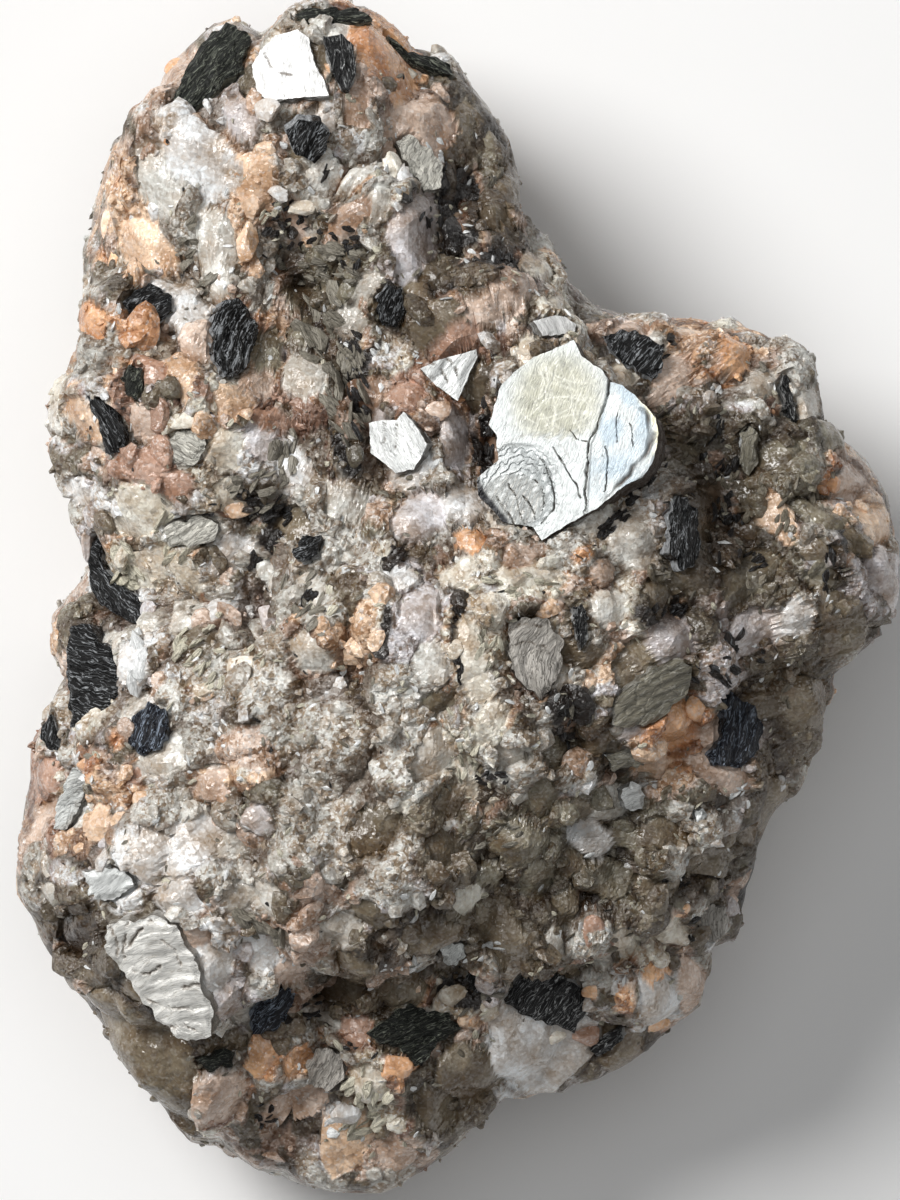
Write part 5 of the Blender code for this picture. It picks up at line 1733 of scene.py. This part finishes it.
def book_face(number, name, book, edge):
    """Rings at shares of each ray, height = thickness - steps - crumble - cracks, with colour and dirt."""
    palette, direction, bend, _, step_depth = BOOK_LOOKS[name]
    thickness = book["thickness"]
    ring_width = LARGE_RING if name == LARGE_PLATE else RING
    shares = np.arange(1, int(np.clip(edge.reach.max() / ring_width, LEAST_RINGS, MOST_RINGS)) + 1)
    shares = shares / len(shares)
    face = edge.centre + shares[:, None, None] * (edge.ring(edge.torn) - edge.centre)[None, :, :]
    x, y = face[:, :, 0], face[:, :, 1]
    u, v = grain_axes(x, y, direction, bend)
    inward = (1.0 - shares)[:, None] * edge.reach[None, :]
    torn = 1.5 + 1.1 * waves(0.4 * u, v, 4.0, 200 + number)
    steps = np.floor(torn) + ease((torn - np.floor(torn)) * 5.0)
    ripple = 0.35 * waves(0.3 * u, v, 1.2, 300 + number)
    crumble = ease(1.0 - inward / 0.8) * (0.5 + 0.6 * edge.waves(2.2, 400 + number))
    dip = step_depth * (0.45 * steps + ripple) + 0.35 * edge.ragged * np.maximum(crumble, 0.0)
    patchy = ease(0.5 + 0.8 * waves(0.5 * u, v, 3.0, 700 + number))
    colour = linear(PALETTES[palette][0]) * (0.80 + 0.25 * patchy)[:, :, None]
    dirt = np.zeros_like(x)
    middle = book["base"] + 0.57 * thickness * book["up"]
    for line, half_width, depth in BOOK_CRACKS.get(name, ()):
        crack_x = middle[0] + x + 0.08 * waves(u, v, 0.9, 40)
        crack_y = middle[1] + y + 0.08 * waves(u, v, 1.1, 41)
        mask = bell(distance_to_line(crack_x, crack_y, line), half_width)
        mask = mask * ease(0.7 + 0.6 * waves(u, v, 1.6, 42))
        dip = dip + depth * mask
        dirt = np.maximum(dirt, 0.8 * mask)
    if name == LARGE_PLATE:
        across, down = middle[0] + x + MIDDLE[0], MIDDLE[1] - middle[1] - y
        painted, extra, soil = paint_large_plate(across.ravel(), down.ravel())
        colour = painted.reshape(x.shape + (3,))
        dip = 0.35 * dip + extra.reshape(x.shape)
        dirt = soil.reshape(x.shape)
    height = thickness - np.clip(dip, 0.02, 0.8 * thickness)
    height[-1] = np.minimum(height[-1], height[-2])
    return face, height, colour, dirt


# %% [markdown]
# The side of a book shows its sheets edge-on: each ends a little further in or out than the one above it,
# with a notch under it that is darkened as painted shade.

# %% Side of a book
LARGE_SHEET, SHEET = 0.28, 0.4
LEAST_SHEETS, MOST_SHEETS = 4, 18
# Painted shade in the notch under each sheet.
GAP_SHADE = 0.45


def book_side(number, name, edge, top, thickness, random):
    """Two rings to a sheet, at its level and in the notch under it, with their tones: the notch gets painted
    shade.
    """
    sheet = LARGE_SHEET if name == LARGE_PLATE else SHEET
    count = int(np.clip(thickness / sheet, LEAST_SHEETS, MOST_SHEETS))
    levels = np.sort(random.random(count - 1)) * 0.5 + np.arange(1, count) / count * 0.5
    rings, tones = [], []
    for layer, level in enumerate(np.concatenate(([0.0], levels))):
        notch = 0.05 + 0.22 * random.random()
        jag = 0.12 * edge.waves(1.6, 800 + 20 * number + layer) if layer else 0.0
        start = max(0.0, 0.5 * notch - 0.06) if layer else 0.0
        for offset, drop in ((start, level), (notch, level + 0.4 / count)):
            z = top * (1.0 - drop) - (0.02 if layer == 0 and offset == 0.0 else 0.0)
            rings.append(np.column_stack((edge.ring(edge.torn + offset + jag), z)))
            tones.append(np.full(len(z), 1.0 if offset < notch else GAP_SHADE))
    return rings, np.concatenate(tones)


# %% [markdown]
# Face and side together are one closed mesh in the book's own axes. Only the large plate's side is painted
# a shaded brown; the others show their sheets' and streaks' colours in turns, darkened as painted shade.

# %% Whole books
SIDE_SHADE = 0.62
SIDE_DIRT = 0.15
PLATE_SIDE_SHADE = (0.26, 0.21, 0.18)
STREAKS_LEFT = {"black": 0.72}


def book_faces(rows):
    """Quads between the rings, with a fan of triangles round the first corner and one round the last."""
    ahead = np.roll(rows, -1, axis=1)
    quads = np.stack((rows[:-1], rows[1:], ahead[1:], ahead[:-1]), -1).reshape(-1, 4)
    start = np.column_stack((np.zeros(rows.shape[1], dtype=int), rows[0], ahead[0]))
    end = np.column_stack((rows[-1], np.full(rows.shape[1], rows.size + 1), ahead[-1]))
    return [quads, start, end]


def mica_kind(name):
    """Silver, pale or black mica, from the first word of a book's name."""
    kind = "black" if "black" in name or name.startswith("streaked") else name.split("_")[0]
    return kind if kind in MICA and name != "silver_grey_fan_left" else "pale"


def dress_book(number, name, book):
    """Face, side and underside of one book as one mesh, set up at its place: base + local . axes."""
    palette, direction, bend, share, _ = BOOK_LOOKS[name]
    light, streak = linear(PALETTES[palette][0]), linear(PALETTES[palette][1])
    random = np.random.default_rng(100 + number)
    edge = BookEdge(number, name, book["flat"])
    face, height, colour, dirt = book_face(number, name, book, edge)
    rings, tones = book_side(number, name, edge, height[-1], book["thickness"], random)
    centre = edge.centre
    top = np.dstack((face, height)).reshape(-1, 3)
    first, last = (centre[0], centre[1], height[0].mean()), (centre[0], centre[1], 0.0)
    local = np.vstack(([first], top, *rings, [last]))
    rows = 1 + np.arange(len(local) - 2).reshape(-1, len(edge.points))
    points = book["base"] + local @ np.vstack((book["side"], book["other"], book["up"]))
    along, across = grain_axes(local[:, 0], local[:, 1], direction, bend)
    place = np.column_stack((along, across, local[:, 2])) + 50.0 * random.random(3)
    streaked = np.tile(edge.waves(3.0, 900 + number) > -0.2, len(rings))[:, None]
    side_colour = SIDE_SHADE * tones[:, None] * np.where(streaked, streak, light)
    if name == LARGE_PLATE:
        # Painted shade: the large plate's whole side is one dark brown.
        side_colour = tones[:, None] * linear(PLATE_SIDE_SHADE)
    colours = np.vstack((colour[0].mean(axis=0), colour.reshape(-1, 3), side_colour, side_colour[-1:]))
    soil = np.concatenate(([0.0], dirt.ravel(), np.full(len(side_colour) + 1, SIDE_DIRT)))
    kind = mica_kind(name)
    piece = make_piece(
        "dressed_" + name, points, book_faces(rows), MICA[kind], kind + "_mica",
        streak_share=share * STREAKS_LEFT.get(kind, 1.0), low_place=soil, sheet_place=place,
        mica_colour=colours, streak_colour=np.tile(streak, (len(points), 1)),
    )
    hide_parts(name)


for number, (name, book) in enumerate(books.items()):
    dress_book(number, name, book)

# %% [markdown]
# Between the grains lie small mica flakes on edge and crumbs of books. In some places they crowd. Each
# patch of a kind has its place across and down, half width and half length in mm, the direction of its
# flakes in degrees, how many there are, and their half length in mm.

# %% Patches of flakes
FLAKE_PATCHES = {
    "silver": table("""
73.6 79 .9 .7 20 5 .7, 41.5 96.2 1 1.2 70 5 .9, 48.8 94.2 1.8 .7 10 7 .7, 13.8 66.2 .9 2.2 85 6 1.3
58.7 76.6 .4 .9 80 3 .6, 71.5 39 .7 1 60 3 .6, 41.7 35.8 .5 .6 50 3 .5, 58.6 85.8 .6 .6 30 2 .6
54 88.8 .3 .7 80 2 .6, 46.5 23.2 .5 .5 0 2 .5, 28 95.4 .9 .8 30 6 .4, 30.6 60.6 .4 .4 0 2 .5
65.5 78.3 .3 .4 0 2 .6, 74.5 88 1 1.3 60 5 .7, 33.5 112 1.6 1.2 20 5 .8, 39.2 17 .8 1.6 70 5 .7
43.5 15.6 .8 2 110 6 .7, 37.5 35 1.2 2 110 4 .7
    """),
    "cream": table("""
36 110 3 3.6 60 26 1.1, 13 56.6 1.8 2.2 125 16 1.3, 18.6 44.8 2 1.6 20 8 .9, 49 65 1.2 3.8 85 14 .8
52 58.5 4 1.2 0 12 .8, 22 65 5 3.6 40 28 .9, 47 76 1.2 3.2 110 12 .8, 17.5 54 2.6 2.4 35 12 1.2
32.5 60.5 1.6 1.6 60 6 .8, 27.8 22.5 1.6 2 30 10 .6
    """),
    "grey": table("""
19 24.2 .6 2.6 25 9 .9, 21 28.6 1.5 .9 40 7 .9, 32.6 33 2.2 4 114 26 1.3, 34.8 40 2.2 5 110 30 1.3
26.5 49 3 2 30 14 1, 30.5 60 2.4 3 60 14 .9, 28.5 45.8 1.3 2 100 9 1.1, 26.7 92 2.4 1.7 140 14 1.2
33 27 5 2 160 26 1, 57.5 71.3 1.4 3 80 12 1.1, 49.5 97.7 1.8 2 20 8 1, 5.4 66.5 1 3.4 95 10 1
49.5 83 2.4 2 30 6 .8, 72.4 94.5 1.2 1.2 95 6 1
    """),
    "olive": table("""
78 50.5 4 3.2 70 20 .8, 67.1 68.3 2 2 30 4 .88, 69.5 42.2 1.5 2 70 4 .8, 69 45.5 2.4 1.8 40 6 .72
73 50 1.6 4 90 9 .8, 76 58 3 2.5 60 8 .8, 50.5 13.5 1.4 3 70 6 .88, 49.7 17.8 1.5 1.8 60 3 1.04
57.5 28.6 3 1.4 150 7 .8, 63 31.6 3.4 1.2 170 6 .8, 41 48.6 1.8 1 0 5 .48, 79.6 68 2.6 5 80 10 .8
60 93 5 1.8 20 7 .72, 22.5 105.8 2.6 1.4 15 5 .72
    """),
    # Many black patches lie in the hollows and along the seam, where the flakes are partly black mica and
    # partly painted shade; the last five, in a row along the large plate's lower right edge, are painted
    # shade of the plate's side.
    "black": table("""
32.6 17 .9 1.8 60 7 .9, 29 22.8 2.4 2.8 30 24 .8, 17.5 9.2 .7 1.2 60 4 .8, 4.9 62.8 .6 2.6 85 8 1.1
25.9 56.4 .9 1.4 70 4 1.3, 31.2 59.2 .8 1.1 50 4 1.1, 24.7 49.3 1.4 .8 160 5 1.1, 21.1 50.9 1 .8 0 4 .8
28.2 51.2 1.6 1.4 40 9 1, 75 56.4 1.2 1.1 30 6 1, 73 63.8 .9 1.1 90 4 1.2, 76 65.4 .5 .6 0 2 .8
68 103 2 1 30 7 1, 26.6 111.4 1.4 1.7 20 8 1, 67.5 87.6 2.3 .8 20 8 .9, 35.2 26.5 1.2 2 80 9 .9
50.2 26.5 1.2 1 60 7 .8, 35.6 104.2 1 .7 0 5 .8, 78.7 40 1 2.6 100 7 1, 71.6 43 .6 1 80 4 .8
69.2 92.7 .6 2 100 6 1, 44 20.5 2 4.4 80 26 .8, 33.5 24.5 3 1.6 20 16 .8, 65.4 34.4 2.2 2.2 50 12 1
35.8 38 .9 5.5 112 20 1.2, 48.5 43.5 .8 4.5 90 12 .9, 71.5 46 2.2 2 60 12 .9, 72.4 53 1.8 3.5 90 14 1
82.5 57 .6 2.8 90 8 1, 45.8 63.8 .5 4.5 90 12 .8, 56.3 72 .8 2.8 85 10 1, 66.4 60.8 1.4 1.4 40 8 1
30 100.6 2.2 1.2 20 10 .9, 71.5 67.5 2.6 1 160 8 1.1, 49.4 77.4 2 1 10 8 .9, 60.6 104 1.4 1 30 5 .9
66 46.6 .7 .8 50 7 .9, 64.8 48.2 .7 .8 50 7 .9, 63.4 49.8 .7 .8 50 7 .9, 61.8 51.6 .7 .8 50 7 .9
60.2 53.2 .7 .8 50 7 .9
    """),
}
FLAKE_TONES = {kind: (family, row[:3], row[3:]) for kind, family, *row in table("""
silver silver .93 .94 .94 .75 .76 .76
cream pale .88 .86 .78 .62 .59 .51
grey pale .58 .56 .51 .3 .28 .25
olive pale .46 .43 .37 .66 .64 .58
black black .08 .08 .09 .5 .52 .54
""")}
FLAKE_KINDS = list(FLAKE_TONES)
print(sum(len(patches) for patches in FLAKE_PATCHES.values()), "patches")

# %% [markdown]
# Scattered flakes all over join those in the patches. A flake is a thin crystal of the same cut kind as the
# grains, leaning out of the rock so that its edge shows. One joined mesh holds each of the three materials.

# %% Flakes
FLAKE_NET = crystal_net(7, (24.0, -24.0))
SPARSE_SPACING = 2.6
SPARSE_CHANCES = (0.34, 0.30, 0.22, 0.06, 0.08)
WIDEST_FLAKE_SHARE = 0.93
FLAKE_STREAKS = 0.35
FLAKE_DIRT = 0.08


def patch_flakes(random):
    """Places, kinds, turns and half lengths of the flakes of all patches."""
    rows = []
    patches = [(kind, *patch) for kind, patches in FLAKE_PATCHES.items() for patch in patches]
    for kind, across, down, half_width, half_length, direction, number, length in patches:
        count = int(number)
        reach = np.sqrt(random.random(count))
        angle = 2 * math.pi * random.random(count)
        way_across, way_down = half_width * reach * np.cos(angle), half_length * reach * np.sin(angle)
        x, y = to_plane(across + way_across, down + way_down)
        turns = np.radians(direction) + 0.3 * random.normal(size=count)
        lengths = length * (0.7 + 0.6 * random.random(count))
        points = np.column_stack((x, y, face_point(x, y)))
        rows.append(np.column_stack((points, np.full(count, FLAKE_KINDS.index(kind)), turns, lengths)))
    return np.vstack(rows)


def sparse_flakes(random):
    """The same columns for flakes spread over the whole lump."""
    points = thin_out(places[places[:, 2] > FOOT_LEVEL], SPARSE_SPACING, random)[:, :3]
    points = points[~near_crystals(points, 0.8)]
    kinds = random.choice(len(FLAKE_KINDS), size=len(points), p=SPARSE_CHANCES)
    turns = 2 * math.pi * random.random(len(points))
    return np.column_stack((points, kinds, turns, 0.25 + 0.5 * random.random(len(points)) ** 1.5))


def build_flakes():
    """All flakes as one joined mesh for each kind of mica, each flake leaning about its own length."""
    random = np.random.default_rng(77)
    rows = np.vstack((patch_flakes(random), sparse_flakes(random)))
    _, reach, rim = rim_place(rows[:, 0], rows[:, 1])
    inward = (reach / rim < WIDEST_FLAKE_SHARE) | (rows[:, 2] < RIM_HEIGHT - 4.0)
    rows = rows[~inside_books(rows[:, :3], -0.2) & inward]
    rows[rows[:, 3] == FLAKE_KINDS.index("black"), 5] *= 0.8
    count = len(rows)
    normals = broad_normals(rows[:, :3])
    sides = side_axes(normals, rows[:, 4])
    raised = ease((rows[:, 2] - RIM_HEIGHT) / RIM_CALM)
    lean = (0.9 * (0.2 + 0.8 * raised) * random.normal(size=count))[:, None]
    normals = unit(normals + lean * np.cross(normals, sides) + 0.25 * random.normal(size=(count, 3)))
    sides = unit(sides - np.einsum("ij,ij->i", sides, normals)[:, None] * normals)
    sizes = rows[:, 5:6] * np.column_stack((
        np.ones(count), 0.35 + 0.3 * random.random(count), 0.16 + 0.16 * random.random(count),
    ))
    net, tris = FLAKE_NET
    centres = rows[:, :3] - (0.5 - 0.4 * raised)[:, None] * sizes[:, 2:] * normals
    points = cut_crystals(centres, normals, sides, sizes, net, tris, random)[0]
    axes = np.stack((sides, np.cross(normals, sides), normals), axis=1).repeat(len(net), axis=0)
    shift = 40.0 * random.random((count, 3))
    place = np.einsum("nij,nj->ni", axes, points) + shift.repeat(len(net), axis=0)
    kinds = rows[:, 3].astype(int)
    light = linear([FLAKE_TONES[kind][1] for kind in FLAKE_KINDS])[kinds]
    light = light * (0.75 + 0.35 * random.random((count, 1)))
    streak = linear([FLAKE_TONES[kind][2] for kind in FLAKE_KINDS])[kinds]
    wants = np.array([list(MICA).index(FLAKE_TONES[kind][0]) for kind in FLAKE_KINDS])[kinds]
    for number, family in enumerate(MICA):
        chosen = np.flatnonzero(wants == number)
        corners = (chosen[:, None] * len(net) + np.arange(len(net))).ravel()
        own_faces = tris[None, :, :] + (np.arange(len(chosen)) * len(net))[:, None, None]
        make_piece(
            "flakes_" + family, points[corners], [own_faces.reshape(-1, 3)], MICA[family], family + "_mica",
            streak_share=FLAKE_STREAKS, low_place=FLAKE_DIRT, sheet_place=place[corners],
            mica_colour=light.repeat(len(net), axis=0)[corners],
            streak_colour=streak.repeat(len(net), axis=0)[corners],
        )


build_flakes()

# %% [markdown]
# A pale floor, a soft key light from the upper left, as in the photo, and a wide soft light above the
# camera, which the mica sheets mirror. A weak one from the lower right opens the shadows. All are too big
# and too far away for hard edges.

# %% Floor
FLOOR_HALF = 3.0
FLOOR_DROP = 0.0002
floor_mesh = bpy.data.meshes.new("floor")
floor_corners = [
    (FLOOR_HALF * a, FLOOR_HALF * b, -FLOOR_DROP) for a, b in ((-1, -1), (1, -1), (1, 1), (-1, 1))
]
floor_mesh.from_pydata(floor_corners, [], [(0, 1, 2, 3)])
floor = link_object("floor", floor_mesh)
floor_material = bpy.data.materials.new("pale floor")
floor_material.use_nodes = True
floor_shader = floor_material.node_tree.nodes["Principled BSDF"]
floor_shader.inputs["Base Color"].default_value = (0.95, 0.95, 0.95, 1.0)
floor_shader.inputs["Roughness"].default_value = 0.9
floor_shader.inputs["Specular IOR Level"].default_value = 0.1
floor_mesh.materials.append(floor_material)

# %% Light
AIM = (0.0, 0.0, 0.02)


def soft_light(name, place, size, watts, colour):
    """A round area light of the given width, turned towards the lump."""
    data = bpy.data.lights.new(name, "AREA")
    data.shape = "DISK"
    data.size = size
    data.energy = watts
    data.color = colour
    lamp = link_object(name, data)
    lamp.location = place
    lamp.rotation_mode = "QUATERNION"
    lamp.rotation_quaternion = (Vector(AIM) - Vector(place)).to_track_quat("-Z", "Y")
    lamp.visible_camera = False


soft_light("key", (-0.92, 0.72, 1.05), 0.9, 27.0, (1.0, 0.99, 0.975))
soft_light("fill", (0.9, -0.9, 1.0), 1.2, 2.2, (1.0, 0.99, 0.98))
soft_light("above", (0.1, 0.25, 1.9), 1.5, 7.0, (0.97, 0.99, 1.0))
world = bpy.data.worlds.new("studio")
bpy.context.scene.world = world
world.use_nodes = True
world.node_tree.nodes["Background"].inputs["Color"].default_value = (1.0, 1.0, 1.0, 1.0)
world.node_tree.nodes["Background"].inputs["Strength"].default_value = 0.09

# %% [markdown]
# The camera looks straight down from far above, so the lump fills the frame as it does in the photo.

# %% Camera
CAMERA_RISE = 1.5
WINDOW_LENGTH = 0.120
camera_data = bpy.data.cameras.new("camera")
camera_data.sensor_width = 36.0
camera_data.lens = camera_data.sensor_width * CAMERA_RISE / WINDOW_LENGTH
camera_data.clip_end = 10.0
camera = link_object("camera", camera_data)
camera.location = ((45.0 - MIDDLE[0]) * MM, 0.0, RIM_HEIGHT * MM + CAMERA_RISE)
bpy.context.scene.camera = camera
bpy.context.scene.view_settings.view_transform = "Standard"
